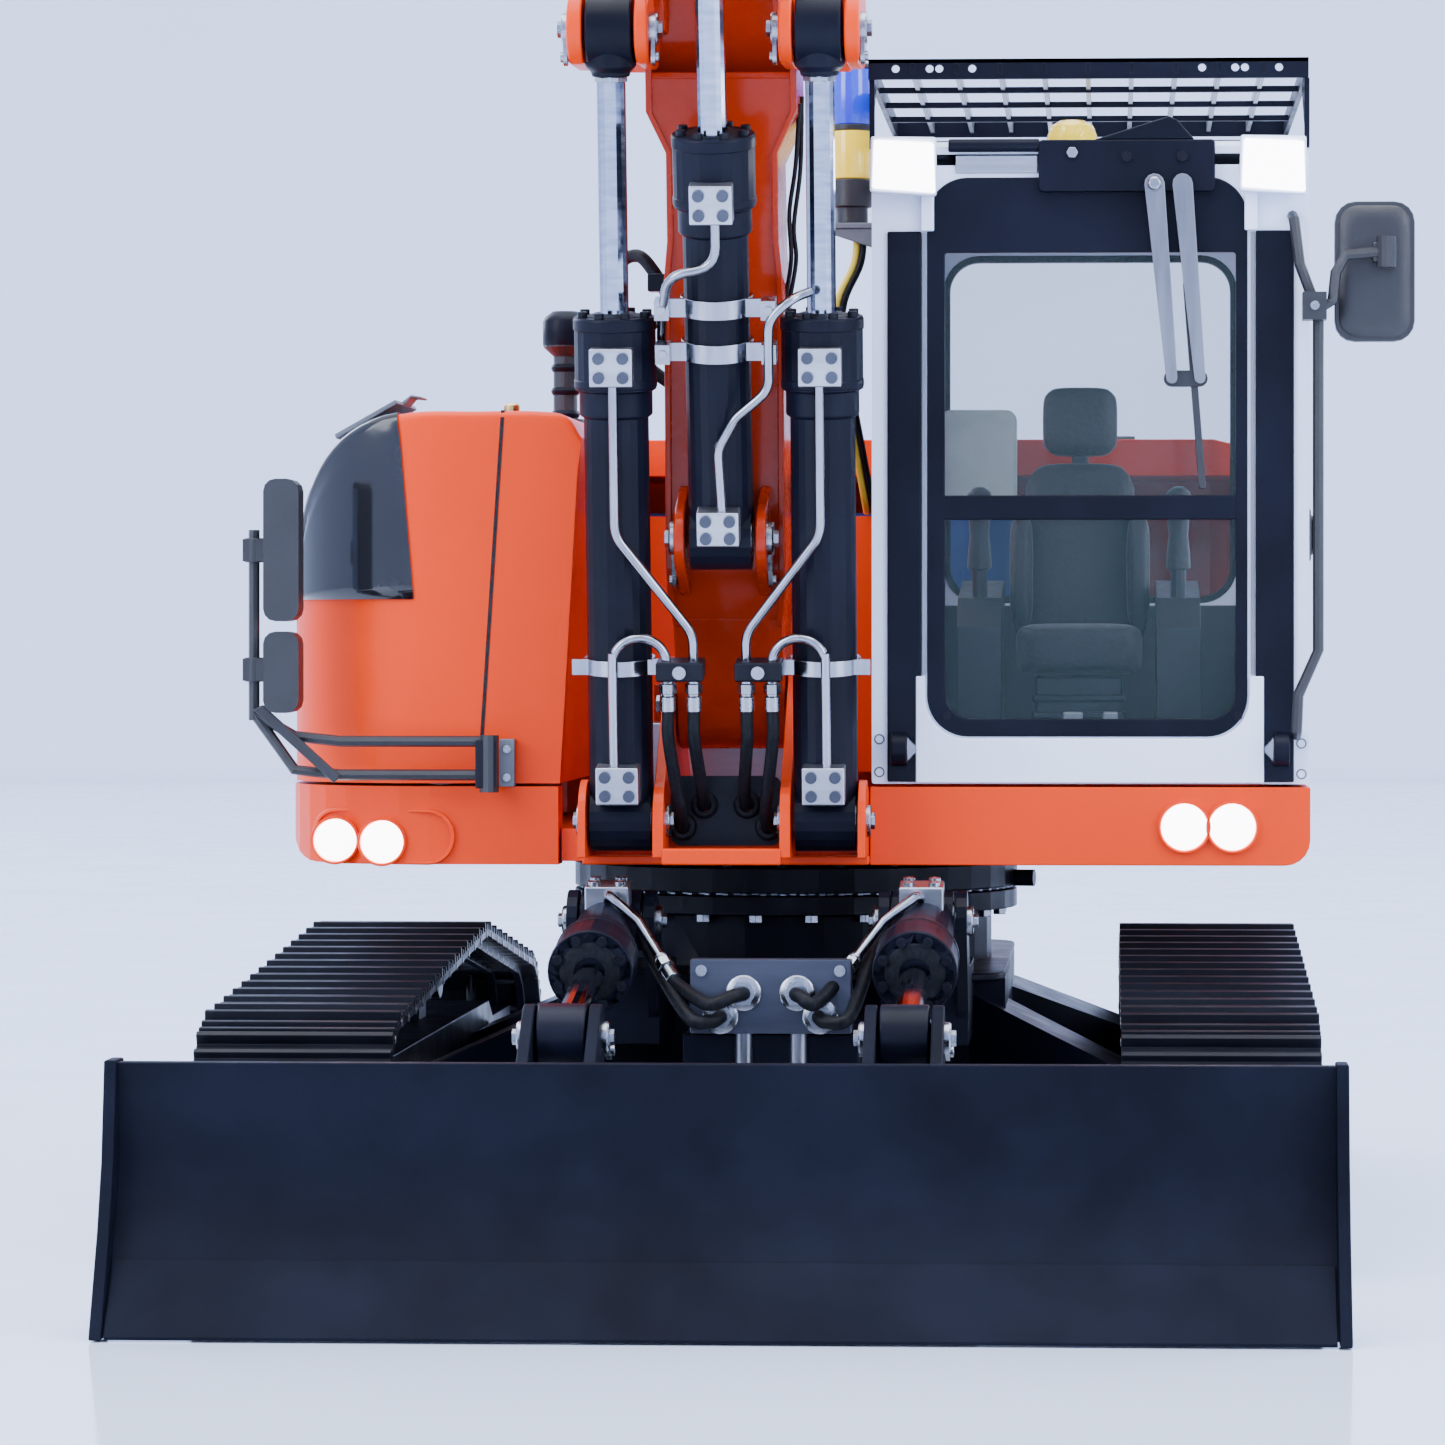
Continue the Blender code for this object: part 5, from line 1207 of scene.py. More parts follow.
def hood_skin(piece, section, lift, rear, foot, lean=1.0):
    """The hood's side and top back to rear, a rounded edge, and the front wall down to the height foot.

    lean is how much narrower, measured from the hood's left side, the wall is at its foot than at its top.
    """
    edge = 1.6
    rings = [[(p.x, y, p.y) for p in section] for y in (rear, rear * 0.5)]
    for turn in range(0, 91, 15):
        angle = math.radians(turn)
        pull = edge * (1.0 - math.cos(angle))
        ring = []
        for p in section:
            inward = (Vector((max(p.x, HOOD_LEFT + HOOD_CORNER), 100.0)) - p).normalized() * (p.y > 120.0)
            y = corner_front(p.x) - lift + edge * (1.0 - math.sin(angle))
            ring.append((p.x + inward.x * pull, y, p.y + inward.y * pull))
        rings.append(ring)
    last = rings[-1]
    steps = 12
    for index in range(1, steps + 1):
        share = index / steps
        ring = []
        for x, _, z in last:
            height = z + (foot - z) * share
            down = (HOOD_TOP - height) / (HOOD_TOP - HOOD_FOOT)
            leaned = HOOD_LEFT + (x - HOOD_LEFT) * (1.0 - (1.0 - lean) * down)
            ring.append((leaned, corner_front(leaned) - lift, height))
        rings.append(ring)
    return piece.rings(rings, caps=False)


def make_hood():
    """The engine hood's shell, its seam, black corner panel, grille, lock, grip and flap."""
    hood = Piece("hood", "house", "orange", 0.0)
    section = hood_section()
    inner_foot, inner_head = HOOD_INNER_FOOT, section[-1]
    lean = (inner_foot - HOOD_LEFT) / (inner_head.x - HOOD_LEFT)
    hood_skin(hood, section, 0.0, 39.0, HOOD_FOOT, lean)
    side = [(inner_head.x, inner_head.y), (inner_foot, HOOD_FOOT)]
    wall = side + [(x - 0.8, z) for x, z in reversed(side)]
    hood.prism(wall, "Y", 39.0, FRONT_Y + 0.6)
    hood.prism([(p.x, p.y) for p in section] + [(inner_foot, HOOD_FOOT)], "Y", 38.0, 39.0)
    hood.block((-38.0, 2.0, 93.0), (18.6, 39.0, 148.0))
    hood.make("engine_hood")

    seam = Piece("hood_seam", "house", "gasket", 0.0)
    half, front, back = 0.35, FRONT_Y - 0.14, FRONT_Y + 1.0
    across = ((-half, front), (half, front), (half, back), (-half, back))
    seam.rings([[(x + a, y, z) for a, y in across] for x, z in ((SEAM_FOOT, 93.4), (SEAM_HEAD, 165.4))])
    seam.block((SEAM_HEAD - half, FRONT_Y + 0.6, 165.0), (SEAM_HEAD + half, 38.8, 166.8)).make()

    panel = Piece("hood_dark_panel", "house", "gloss_plastic", 0.0)
    upper = [p for p in hood_section(0.3) if p.y > 129.0 and p.x < PANEL_EDGE]
    hood_skin(panel, upper, 0.3, 30.0, 129.4, 1.26)
    made = panel.make("hood_panel")
    solid = made.modifiers.new("sheet", "SOLIDIFY")
    solid.thickness = 0.6 * MM
    solid.offset = 0.0

    lock = Piece("hood_lock", "house", "brass", 0.15)
    lock.turned([(0.0, 1.6), (1.4, 1.6), (1.8, 1.2)], (-51.5, -88.0, 166.6), Z_AXIS, 24).make()
    slats = Piece("hood_grille", "house", "plastic", 0.1)
    for index in range(7):
        y = -44.0 + 9.0 * index
        slats.prism(rounded((y, 98.0), (y + 5.0, 122.0), 2.3, 5), "X", HOOD_LEFT - 0.25, HOOD_LEFT + 0.6)
    slats.make()
    grip = Piece("hood_grip", "house", "plastic", 0.0)
    handle = [(-97.0, 10.0, 126.0), (-99.6, 11.0, 126.0), (-99.6, 25.0, 126.0), (-97.0, 26.0, 126.0)]
    grip.pipe(bent_line(handle, 1.5), 1.0).make()
    flap = Piece("hood_flap", "house", "grey_plastic", 0.3)
    corners = ((-88.8, 162.8), (-76.4, 169.8), (-75.9, 169.0), (-88.4, 161.8))
    flap.prism(corners, "Y", -76.0, -46.0)
    hook = [(-76.4, 169.8), (-74.6, 171.2), (-72.4, 170.8), (-72.6, 170.4), (-74.6, 170.6), (-75.9, 169.0)]
    flap.prism(hook, "Y", -66.0, -56.0)
    flap.make()


def make_skirt_lamps():
    """Two round working lamps in each skirt, the hood's pair inside an oblong rim."""
    for tag, centres, radius in (
        ("hood", ((-86.2, 81.6), (-76.4, 81.4)), 4.2),
        ("cab", ((82.0, 84.6), (91.4, 84.6)), 4.6),
    ):
        rims = Piece(tag + "_lamp_rims", "house", "orange", 0.15)
        lenses = Piece(tag + "_lamp_lenses", "house", "lamp", 0.0)
        profile = [(-7.0, radius + 0.1), (0.5, radius + 0.1), (0.5, radius + 0.6), (-7.0, radius + 0.6)]
        angles = [math.radians(degrees) for degrees in range(10, 91, 16)]
        dome = [(-1.0, radius)] + [(0.8 * math.sin(a), max(0.05, radius * math.cos(a))) for a in angles]
        for x, z in centres:
            spot = (x, corner_front(x + radius, FRONT_Y - 1.0, HOOD_CORNER + 1.0) - 0.5, z)
            rims.tube(profile, spot, FORWARD, 40)
            lenses.turned(dome, spot, FORWARD, 32)
        rims.make()
        lenses.make()
    pocket = Piece("lamp_pocket", "house", "orange", 0.3, 3)
    outer = rounded((-92.0, 76.9), (-61.8, 87.9), 5.3, 8)
    inner = rounded((-91.2, 77.6), (-62.6, 87.2), 4.7, 8)
    rings = []
    for line, proud in ((outer, -0.3), (outer, 1.1), (inner, 1.1), (inner, -0.3)):
        rings.append([(x, corner_front(x, FRONT_Y - 1.0, HOOD_CORNER + 1.0) - proud, z) for x, z in line])
    pocket.rings(rings, closed=True).make()


def make_house_front():
    """The frame's front bar, the hose plate between the boom's ears, pins and bushings."""
    bar = Piece("front_bar", "house", "orange", 0.4)
    bar.block((BOOM_X - 11.6, -112.5, 77.6), (BOOM_X + 11.6, -108.0, 80.8))
    strip = [(-101.0, 77.2), (-94.4, 77.2), (-94.4, 79.0), (-101.0, 79.0)]
    bar.both_sides(strip, BOOM_X, 11.0, 28.2).make()
    plate = Piece("hose_plate", "house", "steel", 0.5)
    holes = [(BOOM_X + side * across, z) for side in (LEFT, RIGHT) for across, z in HOSE_HOLES]
    outline = rounded((-18.9, 80.9), (2.9, 94.6), 2.0)
    plate.plate(outline, [circle(hole, 2.3) for hole in holes], "Y", -98.8, -97.4).make()
    grommets = Piece("hose_grommets", "house", "rubber", 0.25, 3)
    profile = [(-1.9, 1.3), (-1.9, 2.7), (0.9, 2.7), (1.5, 2.2), (1.5, 1.3)]
    for x, z in holes:
        grommets.tube(profile, (x, -99.0, z), FORWARD, 24)
    grommets.make()
    foot = pin("boom_lift")
    pin_with_keeper("boom_foot_pin", "house", BOOM_X, (foot.y, foot.z), 13.6, 4.4, (6.0, -8.0))
    base = pin("lift_barrel_turn")
    for side, tag in SIDES:
        x = BOOM_X + side * 19.8
        made = Piece("lift_base_pin_" + tag, "house", "bolt", 0.2)
        for edge, hand in ((BOOM_X + side * 28.0, side), (BOOM_X + side * 11.3, -side)):
            centre = Vector((edge, base.y, base.z))
            made.turned([(-0.4, 3.2), (0.8, 3.2)], centre, X_AXIS * hand, 28)
            made.hexagon(centre + X_AXIS * hand * 0.8, X_AXIS * hand, 1.7, 0.8)
        made.make()


def make_tail():
    """Handles, lamps, vents, lock and hinges on the counterweight and the rear lid."""
    grips = Piece("tail_grips", "house", "steel", 0.2)
    for x in (-40.0, 44.0):
        grips.pipe(smooth_line([(x, 62.0, 117.6), (x, 62.0, 117.9), (x, 64.0, 117.9)], 3), 0.8)
    for x in (-46.0, 54.6):
        grips.block((x - 5.0, 103.4, 84.0), (x + 5.0, 105.6, 90.0))
    grips.make()
    lamps = Piece("tail_lamps", "house", "lamp", 0.3)
    reflectors = Piece("tail_reflectors", "house", "wire_red", 0.3)
    for side in (LEFT, RIGHT):
        x = 4.3 + side * 66.0
        lamps.prism(rounded((x - 5.0, 106.0), (x + 5.0, 111.0), 1.2), "Y", 99.2, 103.2)
        reflectors.prism(rounded((x - 5.0, 99.6), (x + 5.0, 104.6), 1.2), "Y", 99.2, 103.2)
    lamps.make()
    reflectors.make()
    vents = Piece("lid_vents", "rear_lid", "plastic", 0.15)
    for index in range(9):
        x = -27.5 + 8.0 * index
        vents.prism(rounded((x - 2.6, 126.0), (x + 2.6, 143.0), 2.4, 5), "Y", 100.0, 105.5)
    vents.make()
    catch = Piece("lid_catch", "rear_lid", "bolt", 0.2)
    catch.turned([(0.0, 3.0), (1.0, 3.0), (1.2, 2.4)], (4.3, 104.6, 121.8), (0, 1, 0), 24)
    catch.block((3.5, 105.2, 119.4), (5.1, 105.9, 124.2)).make()
    hinges = Piece("lid_hinges", "rear_lid", "steel", 0.2)
    for x in (-60.0, 66.0):
        hinges.rod((x - 7.0, 51.0, 165.4), (x + 7.0, 51.0, 165.4), 1.6)
    hinges.make()


def make_exhaust():
    """The exhaust's cap, the beads round its pipe and the clamp at its foot."""
    foot, head = (-50.0, 2.0, 167.0), (-50.0, 2.0, 184.0)
    cap = Piece("exhaust_cap", "house", "black", 0.3)
    cap.turned([(0.0, 3.1), (0.5, 4.6), (1.0, 4.9), (6.0, 4.9), (7.0, 4.4), (8.2, 2.8)], head, Z_AXIS, 40)
    for height in (2.0, 7.0, 12.0):
        cap.tube([(height, 2.7), (height + 1.0, 3.2), (height + 2.0, 2.7)], foot, Z_AXIS, 32)
    cap.make()
    ring = Piece("exhaust_clamp", "house", "bolt", 0.1)
    ring.tube([(0.0, 2.8), (0.0, 4.4), (0.8, 4.4), (0.8, 2.8)], foot, Z_AXIS, 32).make()


def make_rear_view_mirrors():
    """The hood-side mirrors' hinge, clamps and glass, and the cab-side mirror's shell and glass."""
    hinge = pin("mirror_bracket_swing")
    block = Piece("mirror_hinge_block", "mirror_bracket", "steel", 0.3)
    block.block(
        (hinge.x - 2.6, hinge.y - 1.6, hinge.z - 4.8), (hinge.x + 1.4, hinge.y + 1.8, hinge.z + 4.8)
    ).make()
    plate = Piece("mirror_hinge_plate", "house", "grey_plastic", 0.2)
    plate.block((hinge.x + 1.6, -97.6, hinge.z - 4.6), (hinge.x + 4.6, FRONT_Y - 0.1, hinge.z + 4.8)).make()
    rivets = Piece("mirror_hinge_rivets", "house", "bolt", 0.15)
    rivets.screws([(hinge.x + 3.1, -97.6, hinge.z + dz) for dz in (-2.8, 2.8)], FORWARD, 0.8, 0.4).make()
    glass = Piece("mirror_glasses", "mirror_bracket", "mirror", 0.1)
    for low, high in ((126.2, 151.8), (108.2, 121.8)):
        glass.prism(rounded((-97.6, low), (-92.6, high), 1.8), "Y", hinge.y + 2.4, hinge.y + 3.0)
    glass.make()
    ties = Piece("mirror_clamps", "mirror_bracket", "plastic", 0.25)
    for height in (139.0, 115.5):
        ties.tube([(-2.4, 1.0), (-2.4, 1.9), (2.4, 1.9), (2.4, 1.0)], (-101.0, hinge.y, height), Z_AXIS, 20)
    slope = [(-101.0, 107.6), (-99.0, 108.6), (-83.6, 94.6), (-85.0, 93.2)]
    ties.prism(slope, "Y", hinge.y - 2.1, hinge.y - 1.1).make()

    glass = Piece("door_mirror_glass", "door_mirror", "mirror", 0.15)
    glass.prism(rounded((113.0, 181.6), (125.4, 205.4), 3.0), "Y", -93.9, -93.3).make()
    shell = Piece("door_mirror_shell", "door_mirror", "plastic", 0.6, 4)
    rings = []
    for depth, inset in ((-94.6, 0.3), (-97.2, 0.3), (-98.2, 1.2), (-98.6, 3.4)):
        low, high = (111.4 + inset, 179.8 + inset), (127.0 - inset, 207.2 - inset)
        rings.append([(x, depth, z) for x, z in rounded(low, high, 4.2 - inset * 0.5)])
    shell.rings(rings).make()
    knuckle = Piece("door_mirror_knuckle", "house", "plastic", 0.4)
    knuckle.block((118.6, -102.0, 195.0), (123.2, -98.9, 199.0)).make()
    clips = Piece("handrail_clips", "house", "bolt", 0.15)
    clips.screws([(107.3, -103.2, 186.5)], FORWARD, 0.9, 0.4).make()


# ---------------------------------------------------------------- cab

CAB_LEFT, CAB_RIGHT, CAB_FRONT, CAB_REAR = 20.5, 106.5, -94.5, 40.0
CAB_FOOT, CAB_TOP = 93.0, 220.0
CAB_MIDDLE = 62.9
CAB_WALL = 2.3
SCREEN_LOW, SCREEN_HIGH = (31.4, 102.3), (94.4, 212.4)
SCREEN_GLASS_LOW, SCREEN_GLASS_HIGH = (34.9, 105.8), (92.1, 197.6)


def make_cab_shell():
    """White pressed walls round the windows, a crowned roof and the floor."""
    shell = Piece("cab_walls", "house", "white", 0.5, 3)
    front = rounded((CAB_LEFT, CAB_FOOT), (CAB_RIGHT, CAB_TOP - 1.5), (5.0, 5.0, 0.6, 0.6))
    shell.plate(front, [rounded(SCREEN_LOW, SCREEN_HIGH, 8.2, 8)], "Y", CAB_FRONT, CAB_FRONT + CAB_WALL)
    side = rounded((CAB_FRONT + 1.2, CAB_FOOT), (CAB_REAR, CAB_TOP - 1.5), (8.0, 1.0, 0.6, 6.0), 8)
    window = rounded((-80.5, 121.5), (20.5, 206.5), 9.0, 8)
    shell.plate(side, [window], "X", CAB_LEFT, CAB_LEFT + CAB_WALL)
    door = rounded((-87.9, 97.1), (-4.1, 208.3), 7.0, 8)
    quarter = rounded((2.5, 121.5), (32.0, 206.5), 7.0, 8)
    shell.plate(side, [door, quarter], "X", CAB_RIGHT - CAB_WALL, CAB_RIGHT)
    rear = rounded((CAB_LEFT, CAB_FOOT), (CAB_RIGHT, CAB_TOP - 1.5), (5.0, 5.0, 2.0, 2.0))
    shell.plate(rear, [rounded((30.5, 129.5), (95.5, 206.5), 8.0, 8)], "Y", CAB_REAR - CAB_WALL, CAB_REAR)
    shell.block(
        (CAB_LEFT + 1.0, CAB_FRONT + 1.0, CAB_FOOT), (CAB_RIGHT - 1.0, CAB_REAR - 1.0, CAB_FOOT + 2.4)
    )
    shell.make("cab_shell")
    roof = Piece("cab_roof", "house", "white", 0.0)
    rings = []
    for height, inset in (
        (-5.2, 0.0), (-3.0, 0.0), (-2.0, 0.3), (-1.2, 1.0), (-0.5, 2.4), (-0.1, 5.0), (0.0, 12.0)
    ):
        low = (CAB_LEFT + inset, CAB_FRONT + inset)
        high = (CAB_RIGHT - inset, CAB_REAR - inset)
        rings.append([(x, y, CAB_TOP + height) for x, y in rounded(low, high, 6.0, 6)])
    roof.rings(rings).make()
    lining = Piece("cab_lining", "house", "plastic", 0.4)
    left, right = CAB_LEFT + CAB_WALL + 0.2, CAB_RIGHT - CAB_WALL - 0.2
    front, rear = CAB_FRONT + CAB_WALL + 1.5, CAB_REAR - CAB_WALL - 0.2
    lining.block((left, rear - 1.0, 95.6), (right, rear, 129.0))
    lining.block((left, front, 95.6), (left + 0.8, rear - 1.2, 121.0))
    lining.block((right - 0.8, front, 95.6), (right, rear - 1.2, 96.8))
    lining.block((left + 1.0, front, 95.5), (right - 1.0, rear - 1.2, 96.4))
    lining.block((right - 0.8, 0.0, 96.8), (right, rear - 1.2, 121.0)).make()
    headliner = Piece("cab_headliner", "house", "grey_plastic", 0.6)
    headliner.block(
        (CAB_LEFT + 3.0, CAB_FRONT + 4.0, 212.6), (CAB_RIGHT - 3.0, CAB_REAR - 4.0, 214.6)
    ).make()
    pillars = Piece("cab_inner_pillars", "house", "plastic", 0.8)
    for x in (CAB_LEFT + 2.6, CAB_RIGHT - 5.6):
        for y in (CAB_FRONT + 3.0, CAB_REAR - 7.0):
            pillars.block((x, y, 95.6), (x + 3.0, y + 4.0, 212.6))
    pillars.make()


def make_cab_front():
    """The black strips beside the windscreen, the white sill below it and the plates above it."""
    strips = Piece("cab_strips", "house", "black", 0.3)
    lines = Piece("cab_strip_lines", "house", "edge", 0.1)
    for low, high, line in ((23.6, 30.3, 30.4), (96.0, 103.5, 95.0)):
        strips.block((low, CAB_FRONT - 0.8, CAB_FOOT + 0.4), (high, CAB_FRONT, 201.8))
        lines.block((line, CAB_FRONT - 0.7, 114.6), (line + 0.8, CAB_FRONT, 201.4))
    strips.make()
    lines.make()
    sill = Piece("cab_sill", "house", "white", 0.3, 3)
    inset = 0.35
    low_x, low_z = SCREEN_LOW[0] - inset, SCREEN_LOW[1] - inset
    high_x = SCREEN_HIGH[0] + inset
    cut = arc((high_x - 8.0, low_z + 8.0), 8.0, 0, -90, 8)
    cut += arc((low_x + 8.0, low_z + 8.0), 8.0, 270, 180, 8)
    outline = [(29.2, CAB_FOOT + 0.2), (97.6, CAB_FOOT + 0.2), (97.6, 114.2), (high_x, 114.2)] + cut
    outline += [(low_x, 114.2), (29.2, 114.2)]
    sill.plate(outline, [], "Y", CAB_FRONT - 1.3, CAB_FRONT).make()
    # painted shade: grey rings on the white front stand for the shade inside four countersunk dimples
    dimple_shade = Piece("cab_dimple_shade", "house", "grey_plastic", 0.15)
    for x, heights in ((22.0, (95.3, 101.8)), (105.0, (95.0, 101.0))):
        for z in heights:
            dimple_shade.tube(
                [(-0.2, 0.75), (0.18, 0.75), (0.18, 1.05), (-0.2, 1.05)], (x, CAB_FRONT, z), FORWARD, 24
            )
    dimple_shade.make()
    stops = Piece("cab_stops", "house", "black", 0.3)
    cones = Piece("cab_stop_cones", "house", "tube", 0.2)
    for x, hand in ((24.4, 1.0), (102.6, -1.0)):
        stops.turned([(0.0, 3.3), (2.9, 3.3), (3.2, 3.0)], (x, CAB_FRONT - 1.2, 99.8), (hand, 0, 0), 28)
        cones.turned([(3.2, 3.0), (4.9, 0.6)], (x, CAB_FRONT - 1.2, 99.8), (hand, 0, 0), 28)
    stops.make()
    cones.make()
    header = Piece("cab_header", "house", "black", 0.4)
    header.prism(rounded((53.4, 209.4), (88.0, 219.6), 0.8), "Y", CAB_FRONT - 2.6, CAB_FRONT - 0.2)
    header.rod((35.6, CAB_FRONT - 1.2, 218.6), (53.6, CAB_FRONT - 1.2, 218.6), 1.3)
    fin = [(64.3, 219.6), (79.0, 224.2), (80.6, 223.4), (84.0, 219.6)]
    header.prism(fin, "Y", CAB_FRONT - 2.4, CAB_FRONT + 6.0)
    header.make()
    plate = Piece("cab_header_plate", "house", "alu", 0.3)
    plate.block((37.0, CAB_FRONT - 0.7, 213.2), (53.3, CAB_FRONT, 216.8)).make()
    bolts = Piece("cab_header_bolts", "house", "bolt", 0.2)
    bolts.hexagon((60.0, CAB_FRONT - 2.6, 217.0), FORWARD, 1.2, 0.9).make()
    dark = Piece("cab_header_screws", "house", "steel", 0.2)
    dark.screws([(x, CAB_FRONT - 2.6, 216.2) for x in (70.7, 81.6)], FORWARD, 1.1, 0.7).make()
    caps = Piece("wiper_caps", "wiper_drive_arm", "bolt", 0.2)
    pivot = pin("wiper_sweep")
    caps.turned([(0.0, 1.4), (0.8, 1.4), (1.2, 1.0)], (pivot.x, -99.4, pivot.z), FORWARD, 24).make()


def window(name, axis, low, high, radius, depth, body="house", replaced=()):
    """A pane in its rubber seal; depth is the middle of the wall that it sits in."""
    outer = rounded(low, high, radius, 8)
    inner = rounded((low[0] + 1.5, low[1] + 1.5), (high[0] - 1.5, high[1] - 1.5), max(radius - 1.5, 1.0), 8)
    seal = Piece(name + "_seal", body, "gasket", 0.25)
    seal.band(outer, inner, axis, depth - 1.5, depth + 1.5).make()
    pane = Piece(name + "_glass", body, "glass", 0.0)
    pane.prism(inner, axis, depth - 0.3, depth + 0.3).make(*replaced)


def make_cab_windows():
    """The windscreen's black frame, its glass and cross bar, and the fixed windows of the other walls."""
    frame_piece = Piece("windscreen_frame", "house", "black", 0.35, 3)
    outer = rounded(SCREEN_LOW, SCREEN_HIGH, 8.0, 10)
    opening = rounded(SCREEN_GLASS_LOW, SCREEN_GLASS_HIGH, (0.6, 0.6, 5.2, 5.2), 10)
    frame_piece.band(outer, opening, "Y", CAB_FRONT - 0.5, CAB_FRONT + 1.6).make()
    pane = Piece("windscreen_glass", "house", "glass", 0.0)
    pane.prism(opening, "Y", CAB_FRONT + 0.4, CAB_FRONT + 1.0).make("windscreen")
    cross = Piece("windscreen_bar", "house", "black", 0.5)
    cross.block((34.0, CAB_FRONT - 0.4, 145.0), (93.0, CAB_FRONT + 0.3, 149.8)).make()
    rivets = Piece("windscreen_rivets", "house", "steel", 0.1)
    rivets.screws([(x, CAB_FRONT - 0.5, 106.4) for x in (35.3, 92.6)], FORWARD, 0.8, 0.3).make()
    left, right, rear = CAB_LEFT + CAB_WALL / 2, CAB_RIGHT - CAB_WALL / 2, CAB_REAR - CAB_WALL / 2
    window("side_window", "X", (-80.5, 121.5), (20.5, 206.5), 9.0, left)
    window("quarter_window", "X", (2.5, 121.5), (32.0, 206.5), 7.0, right)
    window("rear_window", "Y", (30.5, 129.5), (95.5, 206.5), 8.0, rear)


def make_cab_door():
    """The door's pressed frame, its long window, seal, handle and hinges."""
    low, high = (-87.3, 97.7), (-4.7, 207.7)
    outer = rounded(low, high, 6.5, 8)
    glass_low, glass_high = (-80.5, 124.0), (-11.5, 201.0)
    door = Piece("door_skin", "cab_door", "white", 0.4, 3)
    door.plate(outer, [rounded(glass_low, glass_high, 7.0, 8)], "X", 104.4, 106.6).make("cab_door")
    window("door_window", "X", glass_low, glass_high, 7.0, 105.4, "cab_door")
    trim = Piece("door_trim", "cab_door", "grey_plastic", 0.5)
    trim.prism(rounded((-78.0, 101.0), (-12.0, 118.0), 4.0), "X", 103.2, 104.4).make()
    pull = Piece("door_pull", "cab_door", "plastic", 0.3)
    pull.prism(rounded((-83.5, 137.0), (-77.5, 147.4), 1.6), "X", 106.6, 107.3)
    handle = [(106.8, -80.5, 138.6), (108.1, -80.5, 139.4), (108.1, -80.5, 145.0), (106.8, -80.5, 145.8)]
    pull.pipe(bent_line(handle, 0.8), 0.7).make()
    hinges = Piece("door_hinges", "house", "steel", 0.25)
    for z in (112.0, 160.0, 196.0):
        hinges.rod((106.4, -2.4, z - 4.0), (106.4, -2.4, z + 4.0), 1.4)
    hinges.make()


CUSHION_STEPS = 14


def crowned_cushion(name, low, high, crown, pinch):
    """A stuffed block: its faces swell between the seams and its edges pull in."""
    middle = [(a + b) / 2 for a, b in zip(low, high)]
    half = [(b - a) / 2 for a, b in zip(low, high)]
    made = Piece(name, "house", "seat", 0.0)
    steps = CUSHION_STEPS
    grids = {}
    for axis in range(3):
        for hand in (-1.0, 1.0):
            for row in range(steps):
                for column in range(steps):
                    corners = []
                    for u, v in ((row, column), (row + 1, column), (row + 1, column + 1), (row, column + 1)):
                        a, b = 2.0 * u / steps - 1.0, 2.0 * v / steps - 1.0
                        spot = [0.0, 0.0, 0.0]
                        spot[axis] = hand
                        spot[(axis + 1) % 3], spot[(axis + 2) % 3] = a, b
                        key = tuple(round(value, 4) for value in spot)
                        if key not in grids:
                            grids[key] = made.mesh.verts.new(swell(spot, middle, half, crown, pinch))
                        corners.append(grids[key])
                    made.mesh.faces.new(corners if hand > 0 else corners[::-1])
    bmesh.ops.recalc_face_normals(made.mesh, faces=made.mesh.faces)
    return made


def swell(spot, middle, half, crown, pinch):
    """Where a point of the unit cube lies on the stuffed block."""
    swollen = []
    for i in range(3):
        b, c = spot[(i + 1) % 3], spot[(i + 2) % 3]
        bulge = math.sqrt(max(0.0, (1.0 - b ** 4) * (1.0 - c ** 4)))
        reach = half[i] * (1.0 - pinch) + (half[i] * pinch + crown[i]) * bulge
        others = (abs(b) ** 6 + abs(c) ** 6) / 2.0
        swollen.append(middle[i] + spot[i] * (reach - 0.02 * half[i] * others))
    return swollen


